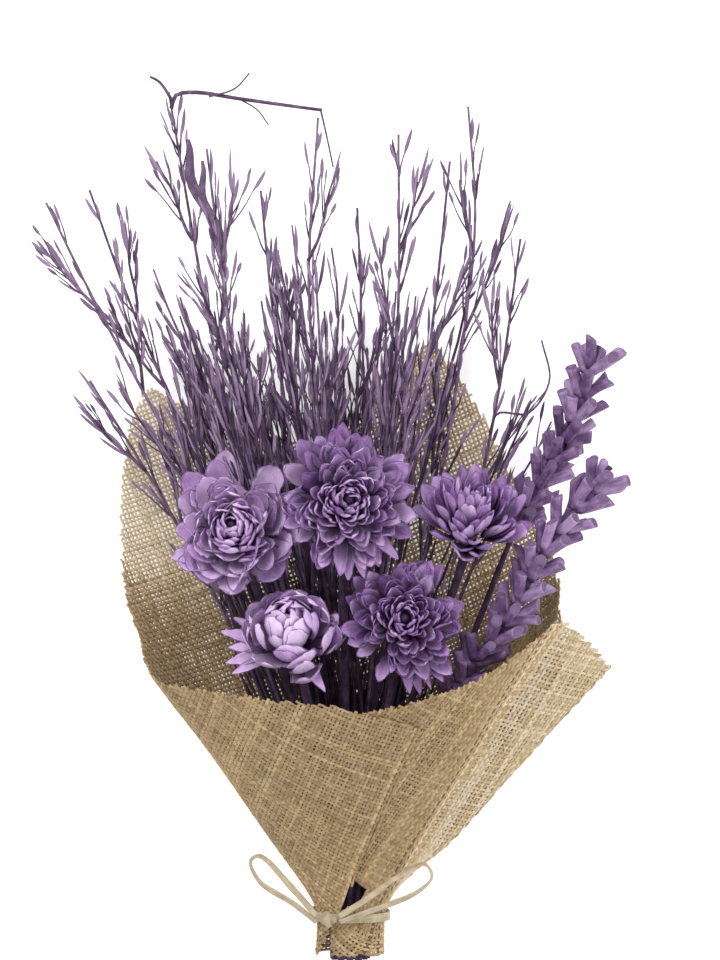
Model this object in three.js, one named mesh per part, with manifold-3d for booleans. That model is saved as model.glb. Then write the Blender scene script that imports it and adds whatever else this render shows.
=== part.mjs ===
// Dried flower bouquet in a hessian wrap, lying on its back.
// Millimetres. +Y runs from the cut stems to the twig tips, +X to the right, +Z up from the table.
// The origin is the middle of the flat patch of hessian that the bouquet rests on.
import * as THREE from 'three';
import * as BufferGeometryUtils from 'three/addons/utils/BufferGeometryUtils.js';
import Module from 'manifold-3d';

const wasm = await Module();
wasm.setup();

// ---- driving dimensions ----
const TIE_TO_ORIGIN = 112;      // the tie is this far below the origin, along the bouquet
const PIECE_GAP = 0.35;         // clearance left wherever two pieces touch

const CLOTH_THICKNESS = 1.4;
const CLOTH_BELOW_TIE = 21;     // the wrap runs this far past the tie
const CONE_APEX_BELOW_TIE = 22;
const CONE_HALF_WIDTH = 0.645;  // half width of the wrap per mm of height over the apex
const CONE_CENTRE_SHIFT = -0.04;
const CONE_DEPTH = 0.69;        // front to back, per mm of height over the apex
const SIDE_LEVEL = 0.27;        // height of the widest line, per mm of height over the apex
const BACK_FLAT = 0.36;         // half width of the flat back, per mm of height over the apex
const NECK_HALF_WIDTH = 16.6;
const NECK_DEPTH = 33.5;
const NECK_LIFT = 2.6;          // the gathered neck is held off the table by its tie
const LAYER_STEP = 2.6;         // the left front panel lies this far outside the right one
const FLAP_WIDTH = 0.29;        // width of the pleated flap, per mm of height over the apex
const FLAP_MIN_WIDTH = 1.6;
const FLAP_LAYER_GAP = 2.4;
const FLAP_DROP = 0.14;         // the flap hangs down by this, per mm of height over the apex

const STEM_BELOW_TIE = 24;
const FLOWER_STEM_RADIUS = 1.9;
const SPIKE_STEM_RADIUS = 1.6;
const TWIG_RADIUS = 1.35;

const PETAL_THICKNESS = 1.1;
const PETAL_ROWS_GAP = 3.1;     // axial step from one row of petals to the next

const REED_RADIUS = 2.9;
const REED_LENGTH = 17.1;
const REED_SPLAY = 0.70;        // radians between a reed and the stem
const REED_CORE_RADIUS = 3.2;

const RIBBON_WIDTH = 3.3;
const RIBBON_THICKNESS = 0.9;

// ---- materials ----
const paint = (color, roughness) => new THREE.MeshStandardMaterial({ color, roughness, metalness: 0 });
const hessian = paint(0xb39a6e, 0.95);
const petalLight = paint(0xa883b8, 0.8);
const petalDark = paint(0x6b4a80, 0.85);
const reedPaint = paint(0x8a68a0, 0.75);
const twigPaint = paint(0x6a4a70, 0.85);
const stemPaint = paint(0x3d2a45, 0.9);
const raffia = paint(0xb5a488, 0.8);

// ---- shared geometry ----

/** Closed solid from a grid of rings: rings[j][i], joined all round, with a fan cap on both ends. */
function ringSolid(rings) {
  const sides = rings[0].length;
  const points = rings.flat();
  const index = [];
  for (let j = 0; j + 1 < rings.length; j += 1) {
    for (let i = 0; i < sides; i += 1) {
      const a = j * sides + i;
      const b = j * sides + (i + 1) % sides;
      index.push(a, b, b + sides, a, b + sides, a + sides);
    }
  }
  const last = (rings.length - 1) * sides;
  for (let i = 1; i + 1 < sides; i += 1) {
    index.push(0, i + 1, i);
    index.push(last, last + i, last + i + 1);
  }
  return meshGeometry(points, index);
}

function meshGeometry(points, index) {
  const geometry = new THREE.BufferGeometry();
  const coordinates = points.flatMap((p) => [p.x, p.y, p.z]);
  geometry.setAttribute('position', new THREE.Float32BufferAttribute(coordinates, 3));
  geometry.setIndex(index);
  return geometry;
}

/** Round rod along a smooth curve through the points, tapering between two radii. */
function rod(points, startRadius, endRadius, sides, steps) {
  const curve = new THREE.CatmullRomCurve3(points, false, 'centripetal');
  const frames = curve.computeFrenetFrames(steps, false);
  const rings = [];
  for (let j = 0; j <= steps; j += 1) {
    const centre = curve.getPointAt(j / steps);
    const radius = THREE.MathUtils.lerp(startRadius, endRadius, j / steps);
    const ring = [];
    for (let i = 0; i < sides; i += 1) {
      const angle = (2 * Math.PI * i) / sides;
      ring.push(centre.clone()
        .addScaledVector(frames.normals[j], radius * Math.cos(angle))
        .addScaledVector(frames.binormals[j], radius * Math.sin(angle)));
    }
    rings.push(ring);
  }
  return ringSolid(rings);
}

function toManifold(geometry) {
  const bare = geometry.clone();
  bare.deleteAttribute('normal');
  bare.deleteAttribute('uv');
  const merged = BufferGeometryUtils.mergeVertices(bare, 1e-4);
  return new wasm.Manifold(new wasm.Mesh({
    numProp: 3,
    vertProperties: new Float32Array(merged.attributes.position.array),
    triVerts: new Uint32Array(merged.index.array),
  }));
}

function fromManifold(solid) {
  const mesh = solid.getMesh();
  const geometry = new THREE.BufferGeometry();
  geometry.setAttribute('position', new THREE.BufferAttribute(mesh.vertProperties, 3));
  geometry.setIndex(new THREE.BufferAttribute(mesh.triVerts, 1));
  return geometry;
}

function joined(geometries) {
  return geometries.map(toManifold).reduce((whole, piece) => whole.add(piece));
}

const bouquet = new THREE.Group();
bouquet.position.y = -TIE_TO_ORIGIN;

function addPiece(name, geometry, material, parent = bouquet) {
  const mesh = new THREE.Mesh(geometry, material);
  mesh.name = name;
  parent.add(mesh);
  return mesh;
}

// ---- hessian wrap ----

const smoothMax = (a, b) => (a ** 8 + b ** 8) ** (1 / 8);
const heightOverApex = (y) => Math.max(y + CONE_APEX_BELOW_TIE, 1);
const neckShare = (y) => 1 - THREE.MathUtils.smoothstep(y, 6, 34);
const halfWidthAt = (y) => smoothMax(CONE_HALF_WIDTH * heightOverApex(y), NECK_HALF_WIDTH);
const depthAt = (y) => smoothMax(CONE_DEPTH * heightOverApex(y), NECK_DEPTH);
const centreAt = (y) => CONE_CENTRE_SHIFT * heightOverApex(y) * (1 - neckShare(y));
const backAt = (y) => NECK_LIFT * neckShare(y) + CLOTH_THICKNESS / 2;
const sideLevelAt = (y) => THREE.MathUtils.lerp(SIDE_LEVEL / CONE_DEPTH, 0.5, neckShare(y));
const flapWidthAt = (y) => FLAP_MIN_WIDTH
  + FLAP_WIDTH * heightOverApex(y) * THREE.MathUtils.smoothstep(y, 8, 38);

/** Front of the wrap: half an ellipse, angle 0 on the right, pi on the left, standing out by offset. */
function frontPoint(y, angle, offset) {
  const level = sideLevelAt(y) * depthAt(y);
  const x = centreAt(y) + (halfWidthAt(y) + offset) * Math.cos(angle);
  const z = backAt(y) + level + (depthAt(y) - level + offset) * Math.sin(angle);
  return new THREE.Vector3(x, y, z);
}

/** Back of the wrap: share -1 is the left side, 1 the right one; flat in the middle, round at the neck. */
function backPoint(y, share) {
  const spread = Math.abs(share);
  const side = (Math.max(spread - 0.5, 0) * Math.PI);
  const flat = BACK_FLAT / CONE_HALF_WIDTH;
  const coneAcross = spread <= 0.5 ? 2 * flat * spread : flat + (1 - flat) * Math.sin(side);
  const neckAngle = (spread * Math.PI) / 2;
  const across = THREE.MathUtils.lerp(coneAcross, Math.sin(neckAngle), neckShare(y));
  const rise = THREE.MathUtils.lerp(1 - Math.cos(side), 1 - Math.cos(neckAngle), neckShare(y));
  const x = centreAt(y) + halfWidthAt(y) * Math.sign(share) * across;
  return new THREE.Vector3(x, y, backAt(y) + sideLevelAt(y) * depthAt(y) * rise);
}

/** Pleated flap on the right: share 0 at the crease, 1 at its outer fold; layer -1 below, 1 above. */
function flapPoint(y, share, layer) {
  const root = centreAt(y) + halfWidthAt(y);
  const drop = FLAP_DROP * heightOverApex(y) * (1 - neckShare(y)) * share ** 1.5;
  const gap = (FLAP_LAYER_GAP / 2) * layer * Math.sqrt(Math.max(1 - share ** 6, 0));
  const z = backAt(y) + sideLevelAt(y) * depthAt(y) - drop + gap;
  return new THREE.Vector3(root + flapWidthAt(y) * share, y, z);
}

/** Straight lines between [position, value] pairs. */
function between(pairs, position) {
  const next = Math.max(1, pairs.findIndex(([at]) => at >= position));
  const [x0, v0] = pairs[next - 1];
  const [x1, v1] = pairs[next];
  return THREE.MathUtils.mapLinear(THREE.MathUtils.clamp(position, x0, x1), x0, x1, v0, v1);
}

// Height of the cut edge over the tie, along each stretch of the sheet.
const LEFT_PANEL_EDGE = [[0, 106], [0.25, 117], [0.5, 123], [0.78, 127], [0.92, 130], [1, 134]];
const BACK_LEFT_EDGE = [
  [-1, 134], [-0.87, 149], [-0.79, 172], [-0.71, 194], [-0.65, 215], [-0.57, 247], [-0.515, 270],
  [-0.44, 288], [-0.36, 276], [0, 250],
];
const BACK_RIGHT_EDGE = [
  [0, 250], [0.14, 292], [0.24, 313], [0.4, 272], [0.55, 232], [0.7, 200], [0.88, 170], [1, 160],
];
const FLAP_EDGE = [[0, 162], [1, 134]];
const RIGHT_PANEL_EDGE = [[0, 161], [0.12, 153], [0.3, 139], [0.5, 128], [0.72, 119], [1, 112]];
const LOWER_FLAP_SHORTER = 13;

// The free edge of the left panel leans to the right as it rises.
const FREE_EDGE_LEAN = 0.385;
const FREE_EDGE_START = -15;
const UNDERLAP_ANGLE = 0.5;     // the right panel runs this far under the left one, in radians

function freeEdgeAngle(y) {
  const x = FREE_EDGE_LEAN * heightOverApex(y) + FREE_EDGE_START;
  return Math.acos(THREE.MathUtils.clamp((x - centreAt(y)) / halfWidthAt(y), -0.9, 0.9));
}

/** Columns of the sheet in order round the bouquet, each with its middle-surface point at height y. */
function wrapColumns() {
  const columns = [];
  const stretch = (count, from, edge, point, skipFirst = false) => {
    for (let i = skipFirst ? 1 : 0; i <= count; i += 1) {
      const share = i / count;
      columns.push({ top: between(edge, from(share)), at: (y) => point(y, from(share)) });
    }
  };
  const step = (share) => LAYER_STEP * (1 - THREE.MathUtils.smoothstep(share, 0.45, 0.95));
  stretch(10, (s) => s, LEFT_PANEL_EDGE, (y, s) => (
    frontPoint(y, THREE.MathUtils.lerp(freeEdgeAngle(y), Math.PI, s), step(s))));
  stretch(9, (s) => s - 1, BACK_LEFT_EDGE, backPoint, true);
  stretch(9, (s) => s * 0.93, BACK_RIGHT_EDGE, backPoint, true);
  const lowerEdge = FLAP_EDGE.map(([at, top]) => (
    [at, top - LOWER_FLAP_SHORTER * Math.sin(Math.PI * Math.min(at, 0.98))]));
  stretch(5, (s) => 0.12 + 0.84 * s, lowerEdge, (y, s) => flapPoint(y, s, -1));
  stretch(1, (s) => 1, FLAP_EDGE, (y) => flapPoint(y, 1, 0), true);
  stretch(5, (s) => 0.96 - 0.84 * s, FLAP_EDGE, (y, s) => flapPoint(y, s, 1));
  const rightStart = 0.16;
  stretch(11, (s) => s, RIGHT_PANEL_EDGE, (y, s) => (
    frontPoint(y, THREE.MathUtils.lerp(rightStart, freeEdgeAngle(y) + UNDERLAP_ANGLE, s), 0)));
  return columns;
}

/** One cloth sheet of even thickness, wound round the bouquet. */
function wrapGeometry() {
  const columns = wrapColumns();
  const rowShares = [0, 0.08, 0.16, 0.24, 0.34, 0.48, 0.65, 0.82, 1];
  const outer = [];
  const inner = [];
  rowShares.forEach((share) => {
    columns.forEach((column, i) => {
      const y = THREE.MathUtils.lerp(-CLOTH_BELOW_TIE, column.top, share);
      const before = columns[Math.max(i - 1, 0)].at(y);
      const after = columns[Math.min(i + 1, columns.length - 1)].at(y);
      const along = after.sub(before).normalize();
      const normal = new THREE.Vector3(along.z, 0, -along.x);
      const middle = column.at(y);
      outer.push(middle.clone().addScaledVector(normal, CLOTH_THICKNESS / 2));
      inner.push(middle.clone().addScaledVector(normal, -CLOTH_THICKNESS / 2));
    });
  });
  const across = columns.length;
  const down = rowShares.length;
  const layer = across * down;
  const index = [];
  const quad = (a, b, c, d) => index.push(a, b, c, a, c, d);
  for (let j = 0; j + 1 < down; j += 1) {
    for (let i = 0; i + 1 < across; i += 1) {
      const a = j * across + i;
      quad(a, a + across, a + across + 1, a + 1);
      quad(layer + a, layer + a + 1, layer + a + across + 1, layer + a + across);
    }
    const left = j * across;
    const right = left + across - 1;
    quad(left, layer + left, layer + left + across, left + across);
    quad(right, right + across, layer + right + across, layer + right);
  }
  for (let i = 0; i + 1 < across; i += 1) {
    const top = (down - 1) * across + i;
    quad(i, i + 1, layer + i + 1, layer + i);
    quad(top, layer + top, layer + top + 1, top + 1);
  }
  return meshGeometry([...outer, ...inner], index);
}

addPiece('hessian_wrap', wrapGeometry(), hessian);

// ---- stems in the neck ----

// Stems stand in rings round the middle of the neck: [ring radius, angle in degrees].
const SLOT_PITCH = 4.7;
const neckMiddle = backAt(0) + depthAt(0) / 2;

function slotPoint(ring, degrees, y) {
  const angle = THREE.MathUtils.degToRad(degrees);
  const radius = ring * SLOT_PITCH;
  return new THREE.Vector3(radius * Math.cos(angle), y, neckMiddle + radius * Math.sin(angle));
}

/** Points of a stem: straight through the neck, then out to the given end by way of the middle points. */
function stemRoute(ring, degrees, waypoints) {
  return [
    slotPoint(ring, degrees, -STEM_BELOW_TIE),
    slotPoint(ring, degrees, 0),
    slotPoint(ring, degrees, 14),
    ...waypoints,
  ];
}

const point = ([x, y, z]) => new THREE.Vector3(x, y, z);

// ---- shaved-wood flowers ----

/** One row of petals, curled up from its base into a lobed cup; rim radius and height set its opening. */
function petalRow(petals, base, rimRadius, height) {
  const sides = petals * 3;
  const stations = [0.12, 0.55, 1];
  const shell = (lift, flip) => stations.map((s) => {
    const ring = [];
    for (let i = 0; i < sides; i += 1) {
      const angle = (2 * Math.PI * i) / sides;
      const lobe = Math.abs(Math.cos((petals * angle) / 2));
      const reach = s * (1 - 0.16 * s * s * (1 - lobe));
      const radius = rimRadius * reach - (flip ? lift * s : 0);
      ring.push(new THREE.Vector3(
        radius * Math.cos(angle), radius * Math.sin(angle), base + height * reach ** 1.6 + lift));
    }
    return ring;
  });
  return ringSolid([...shell(0, false), ...shell(PETAL_THICKNESS, true).reverse()]);
}

/** Teardrop heart of a flower, on its axis. */
function flowerHeart(base, radius, height) {
  const profile = [[0, 0], [0.7, 0.12], [1, 0.35], [0.85, 0.75], [0, 1]];
  const geometry = new THREE.LatheGeometry(
    profile.map(([r, h]) => new THREE.Vector2(r * radius, base + h * height)), 9);
  return geometry.rotateX(Math.PI / 2);
}

/**
 * Flower heads: where the stem meets the head, the way the head faces, the radius of its outer petals,
 * the slot of its stem, and a point the stem passes on its way.
 */
const FLOWERS = [
  {
    name: 'flower_left',
    base: [-60, 208, 58],
    facing: [-0.12, 0.24, 1],
    radius: 36,
    slot: [2, 150],
    via: [-27, 105, 38],
  },
  {
    name: 'flower_middle',
    base: [-2, 224, 79],
    facing: [0.1, 0.1, 1],
    radius: 38,
    slot: [2, 90],
    via: [-2, 105, 48],
  },
  {
    name: 'flower_right',
    base: [64, 207, 64],
    facing: [0.08, 0.72, 0.72],
    radius: 32,
    slot: [1, 0],
    via: [29, 105, 38],
  },
  {
    name: 'flower_lower_left',
    base: [-30, 149, 62],
    facing: [-0.08, 0.55, 0.8],
    radius: 29,
    slot: [2, 120],
    via: [-15, 80, 42],
  },
  {
    name: 'flower_lower_middle',
    base: [28, 161, 68],
    facing: [0.04, 0.16, 1],
    radius: 34,
    slot: [2, 60],
    via: [15, 80, 42],
  },
];
const ROW_PETALS = [9, 7, 5];
const ROW_RADII = [1, 0.72, 0.44];
const ROW_HEIGHTS = [17, 22, 25];
const ROW_NAMES = ['outer_petals', 'middle_petals', 'inner_petals'];
const HEART_SHARE = 0.15;       // radius of the heart, as a share of the outer petals'
const HEART_HEIGHT = 21;

FLOWERS.forEach(({ name, base, facing, radius, slot, via }) => {
  const axis = point(facing).normalize();
  const head = new THREE.Group();
  head.position.copy(point(base));
  head.quaternion.setFromUnitVectors(new THREE.Vector3(0, 0, 1), axis);
  bouquet.add(head);
  ROW_NAMES.forEach((row, k) => {
    const rowBase = PIECE_GAP + k * PETAL_ROWS_GAP;
    const material = k === 0 ? petalDark : petalLight;
    const petals = petalRow(ROW_PETALS[k], rowBase, radius * ROW_RADII[k], ROW_HEIGHTS[k]);
    addPiece(`${name}_${row}`, petals, material, head);
  });
  const heartBase = PIECE_GAP + 3 * PETAL_ROWS_GAP;
  addPiece(`${name}_heart`, flowerHeart(heartBase, radius * HEART_SHARE, HEART_HEIGHT), petalDark, head);
  const end = point(base);
  const approach = end.clone().addScaledVector(axis, -12);
  const route = stemRoute(slot[0], slot[1], [point(via), approach, end]);
  addPiece(`${name}_stem`, rod(route, FLOWER_STEM_RADIUS, FLOWER_STEM_RADIUS, 6, 10), stemPaint);
});

// ---- spikes of cut reeds ----

/** Spikes: slot in the neck, the stem's route to its tip, and the share of it where the reeds begin. */
const SPIKES = [
  {
    name: 'reed_spike_rear',
    slot: [2, 0],
    route: [[36, 80, 22], [66, 150, 26], [92, 215, 32], [119, 266, 42], [133, 308, 49]],
    whorls: 8,
    reedsFrom: 0.70,
  },
  {
    name: 'reed_spike_front',
    slot: [2, 30],
    route: [[34, 70, 42], [58, 126, 55], [84, 163, 68], [104, 200, 76], [137, 243, 83]],
    whorls: 11,
    reedsFrom: 0.50,
  },
];
const REEDS_PER_WHORL = 4;
const TIER_NAMES = ['lower_reeds', 'middle_reeds', 'upper_reeds'];

/** One reed as a short rod that leans away from the stem. */
function reed(origin, along, outward) {
  const direction = along.clone()
    .multiplyScalar(Math.cos(REED_SPLAY))
    .addScaledVector(outward, Math.sin(REED_SPLAY));
  const geometry = new THREE.CylinderGeometry(REED_RADIUS, REED_RADIUS, REED_LENGTH, 5);
  const turn = new THREE.Quaternion().setFromUnitVectors(new THREE.Vector3(0, 1, 0), direction);
  const centre = origin.clone().addScaledVector(direction, REED_LENGTH / 2);
  return geometry.applyQuaternion(turn).translate(centre.x, centre.y, centre.z);
}

SPIKES.forEach(({ name, slot, route, whorls, reedsFrom }) => {
  const points = stemRoute(slot[0], slot[1], route.map(point));
  const curve = new THREE.CatmullRomCurve3(points, false, 'centripetal');
  addPiece(`${name}_stem`, rod(points, SPIKE_STEM_RADIUS, SPIKE_STEM_RADIUS, 6, 12), stemPaint);
  const bore = toManifold(rod(points, SPIKE_STEM_RADIUS + PIECE_GAP, SPIKE_STEM_RADIUS + PIECE_GAP, 6, 12));
  const spacing = (1 - reedsFrom) / whorls;
  const perTier = whorls / TIER_NAMES.length;
  TIER_NAMES.forEach((tier, k) => {
    const first = Math.round(k * perTier);
    const afterLast = Math.round((k + 1) * perTier);
    const reeds = [];
    const corePoints = [];
    for (let w = first; w < afterLast; w += 1) {
      const share = reedsFrom + w * spacing;
      const origin = curve.getPointAt(share);
      const along = curve.getTangentAt(share);
      const side = new THREE.Vector3(0, 0, 1).cross(along).normalize();
      const up = along.clone().cross(side).negate();
      corePoints.push(curve.getPointAt(share - 0.05 * spacing), curve.getPointAt(share + 0.55 * spacing));
      for (let i = 0; i < REEDS_PER_WHORL; i += 1) {
        const angle = ((i + 0.5 * (w % 2)) * 2 * Math.PI) / REEDS_PER_WHORL + 0.4;
        const outward = side.clone().multiplyScalar(Math.cos(angle)).addScaledVector(up, Math.sin(angle));
        const start = origin.clone().addScaledVector(outward, REED_RADIUS * 0.6);
        reeds.push(reed(start, along, outward));
      }
    }
    const core = rod(corePoints, REED_CORE_RADIUS, REED_CORE_RADIUS, 6, corePoints.length + 1);
    addPiece(`${name}_${tier}`, fromManifold(joined([core, ...reeds]).subtract(bore)), reedPaint);
  });
});

// ---- broom twigs ----

/** Twigs: slot in the neck, the route to the tip, and the side shoots as [share along, side, length]. */
const TWIGS = [
  {
    slot: [2, 210],
    route: [[-44, 110, 12], [-96, 215, 16], [-141, 290, 26]],
    shoots: [[0.72, 1, 60], [0.84, -1, 40]],
  },
  {
    slot: [2, 180],
    route: [[-36.5, 110, 25], [-89, 240, 36], [-136, 330, 44], [-162, 384, 54]],
    shoots: [[0.62, -1, 60], [0.74, 1, 56], [0.86, -1, 42]],
  },
  {
    slot: [1, 180],
    route: [[-30, 110, 20], [-80, 240, 27], [-118, 330, 34], [-140, 392, 40]],
    shoots: [[0.62, 1, 60], [0.74, -1, 46], [0.84, 1, 40]],
  },
  {
    slot: [2, 240],
    route: [[-24, 110, 11], [-60, 240, 13], [-80, 340, 20], [-98, 446, 30]],
    shoots: [[0.56, -1, 70], [0.70, 1, 66], [0.84, -1, 48]],
  },
  {
    slot: [1, 120],
    route: [[-20, 110, 29], [-50, 230, 43], [-66, 330, 50], [-76, 412, 60]],
    shoots: [[0.62, 1, 60], [0.74, -1, 52], [0.86, 1, 44]],
  },
  {
    slot: [1, 240],
    route: [[-10, 110, 15], [-30, 240, 22], [-42, 330, 28], [-48, 392, 36]],
    shoots: [[0.62, -1, 56], [0.76, 1, 50]],
  },
  {
    slot: [0, 0],
    route: [[-4, 110, 21], [-14, 240, 32], [-22, 340, 39], [-17, 430, 48]],
    shoots: [[0.58, 1, 64], [0.72, -1, 52], [0.84, 1, 46]],
  },
  {
    slot: [2, 270],
    route: [[2, 110, 9], [2, 240, 9.5], [6, 330, 14], [4, 384, 20]],
    shoots: [[0.6, -1, 60], [0.74, 1, 56]],
  },
  {
    slot: [1, 60],
    route: [[10, 110, 31], [20, 235, 44], [26, 330, 50], [26, 420, 58]],
    shoots: [[0.6, 1, 62], [0.74, -1, 54], [0.86, 1, 40]],
  },
  {
    slot: [1, 300],
    route: [[13, 110, 15], [34, 240, 18], [46, 330, 24], [54, 408, 34]],
    shoots: [[0.62, -1, 60], [0.76, 1, 48]],
  },
  {
    slot: [2, 300],
    route: [[22, 110, 10], [50, 240, 11], [64, 330, 18], [68, 380, 24], [64, 438, 30]],
    shoots: [[0.6, -1, 58], [0.74, 1, 62], [0.84, -1, 40]],
  },
  {
    slot: [2, 330],
    route: [[30, 105, 14], [60, 190, 15], [80, 280, 24], [92, 366, 36]],
    shoots: [[0.66, 1, 48], [0.8, -1, 46]],
  },
];
const SHOOT_ANGLE = 0.36;       // radians between a side shoot and its twig
const SHOOT_RADIUS = 1.0;
const TWIG_TIP_RADIUS = 0.7;

TWIGS.forEach(({ slot, route, shoots }, n) => {
  const points = stemRoute(slot[0], slot[1], route.map(point));
  const curve = new THREE.CatmullRomCurve3(points, false, 'centripetal');
  const pieces = [rod(points, TWIG_RADIUS, TWIG_TIP_RADIUS, 4, 9)];
  shoots.forEach(([share, side, length]) => {
    const origin = curve.getPointAt(share);
    const along = curve.getTangentAt(share);
    const leaning = along.clone().applyAxisAngle(new THREE.Vector3(0, 0, 1), -side * SHOOT_ANGLE);
    const middle = origin.clone().addScaledVector(leaning, length * 0.5);
    const tip = middle.clone().addScaledVector(leaning.lerp(along, 0.5).normalize(), length * 0.5);
    pieces.push(rod([origin, middle, tip], SHOOT_RADIUS, TWIG_TIP_RADIUS, 4, 2));
  });
  addPiece(`twig_${String(n + 1).padStart(2, '0')}`, fromManifold(joined(pieces)), twigPaint);
});

// ---- raffia tie ----

const BAND_WIDTH = 5.5;
const bandEdge = BAND_WIDTH / 2;
const bandMiddle = backAt(bandEdge) + depthAt(bandEdge) / 2;
const bandInner = halfWidthAt(bandEdge) + CLOTH_THICKNESS / 2 + FLAP_MIN_WIDTH + PIECE_GAP;

/** Point of the band's inner face, pushed out by the given distance. */
function bandPoint(angle, y, out) {
  const bottom = depthAt(bandEdge) / 2 + CLOTH_THICKNESS / 2 + 2 * PIECE_GAP;
  const top = bottom + LAYER_STEP;
  const rise = Math.sin(angle) > 0 ? top : bottom;
  return new THREE.Vector3(
    (bandInner + 0.6 + out) * Math.cos(angle), y, bandMiddle + (rise + out) * Math.sin(angle));
}

/** The band: a closed hoop of even thickness round the neck. */
function bandGeometry() {
  const sides = 36;
  const points = [];
  const index = [];
  const corners = [
    [-bandEdge, 0],
    [bandEdge, 0],
    [bandEdge, RIBBON_THICKNESS],
    [-bandEdge, RIBBON_THICKNESS],
  ];
  for (let i = 0; i < sides; i += 1) {
    corners.forEach(([y, out]) => points.push(bandPoint((2 * Math.PI * i) / sides, y, out)));
  }
  for (let i = 0; i < sides; i += 1) {
    for (let c = 0; c < 4; c += 1) {
      const a = i * 4 + c;
      const b = i * 4 + (c + 1) % 4;
      const next = ((i + 1) % sides) * 4;
      index.push(a, next + c, next + (c + 1) % 4, a, next + (c + 1) % 4, b);
    }
  }
  return meshGeometry(points, index);
}

/** Flat ribbon along a smooth curve, with its width along the given direction. */
function ribbon(points, widthDirection, steps) {
  const curve = new THREE.CatmullRomCurve3(points, false, 'centripetal');
  const rings = [];
  for (let j = 0; j <= steps; j += 1) {
    const centre = curve.getPointAt(j / steps);
    const tangent = curve.getTangentAt(j / steps);
    const across = tangent.clone().cross(widthDirection).normalize();
    const wide = across.clone().cross(tangent).normalize();
    rings.push([[-1, -1], [1, -1], [1, 1], [-1, 1]].map(([u, v]) => centre.clone()
      .addScaledVector(wide, (u * RIBBON_WIDTH) / 2)
      .addScaledVector(across, (v * RIBBON_THICKNESS) / 2)));
  }
  return ringSolid(rings);
}

const KNOT_ANGLE = 2.05;        // radians round the neck from its right side
const KNOT_RADIUS = 4.2;
const knotCentre = bandPoint(KNOT_ANGLE, 0, RIBBON_THICKNESS + PIECE_GAP + KNOT_RADIUS * 0.72);
const knotGeometry = new THREE.SphereGeometry(KNOT_RADIUS, 12, 8)
  .scale(1.25, 1, 0.7)
  .rotateY(Math.PI / 2 - KNOT_ANGLE)
  .translate(knotCentre.x, knotCentre.y, knotCentre.z);

// Each loop leaves the knot, runs out round its end and comes back, in steps from the knot's middle.
const LEFT_LOOP = [
  [-5.9, 1.6, 0], [-19, 16, -3], [-37, 33, -9], [-42, 30, -11], [-37, 19, -10], [-19, 8, -5],
  [-6.2, -1.4, -0.5],
];
const RIGHT_LOOP = [
  [6.0, 1.8, 1.4], [20, 11, 4.5], [36, 22, 0], [52, 29, -5], [56, 22, -7], [48, 14, -5], [20, 4, 3.2],
  [6.2, -1.2, 1.2],
];
const loopPoints = (steps) => steps.map((step) => knotCentre.clone().add(point(step)));

addPiece('raffia_band', bandGeometry(), raffia);
addPiece('raffia_knot', knotGeometry, raffia);
addPiece('raffia_loop_left', ribbon(loopPoints(LEFT_LOOP), new THREE.Vector3(0.2, -0.2, 1), 16), raffia);
addPiece('raffia_loop_right', ribbon(loopPoints(RIGHT_LOOP), new THREE.Vector3(0.1, -0.2, 1), 18), raffia);

export default bouquet;
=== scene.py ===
"""Dried bouquet of shaved-wood flowers, reed spikes and broom twigs in a hessian wrap, lying on a table."""
import math

import bpy
import numpy as np
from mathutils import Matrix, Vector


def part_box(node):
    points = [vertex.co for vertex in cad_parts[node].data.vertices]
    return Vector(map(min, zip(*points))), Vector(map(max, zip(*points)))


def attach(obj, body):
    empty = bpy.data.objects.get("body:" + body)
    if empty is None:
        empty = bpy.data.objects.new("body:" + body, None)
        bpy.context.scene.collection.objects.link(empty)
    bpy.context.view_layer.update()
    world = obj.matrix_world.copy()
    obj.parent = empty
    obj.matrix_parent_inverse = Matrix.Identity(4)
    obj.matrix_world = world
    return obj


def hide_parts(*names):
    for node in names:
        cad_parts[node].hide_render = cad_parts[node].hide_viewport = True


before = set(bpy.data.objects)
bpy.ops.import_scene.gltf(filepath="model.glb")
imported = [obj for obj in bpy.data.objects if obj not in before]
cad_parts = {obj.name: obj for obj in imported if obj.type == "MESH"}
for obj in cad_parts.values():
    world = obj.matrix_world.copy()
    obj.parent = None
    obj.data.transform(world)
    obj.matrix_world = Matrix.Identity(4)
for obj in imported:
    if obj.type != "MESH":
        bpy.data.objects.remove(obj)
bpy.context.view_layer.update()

# ---------------------------------------------------------------------------------------------
# Table, camera and light
# The bouquet lies on a plain white table, and the camera looks straight down on it from 1.8 m.
# ---------------------------------------------------------------------------------------------
MM = 0.001
band_low, band_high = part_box("raffia_band")
TIE_Y = (band_low[1] + band_high[1]) / 2 / MM
CAMERA_HEIGHT = 1800.0
VIEW_HEIGHT = 528.0
VIEW_CENTRE = (5.5, TIE_Y + 236.0)
SENSOR_WIDTH = 36.0

camera_data = bpy.data.cameras.new("camera")
camera_data.sensor_width = SENSOR_WIDTH
camera_data.lens = SENSOR_WIDTH * CAMERA_HEIGHT / VIEW_HEIGHT
camera = bpy.data.objects.new("camera", camera_data)
camera.location = (VIEW_CENTRE[0] * MM, VIEW_CENTRE[1] * MM, CAMERA_HEIGHT * MM)
bpy.context.scene.collection.objects.link(camera)
bpy.context.scene.camera = camera
bpy.context.scene.view_settings.view_transform = "Standard"

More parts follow.
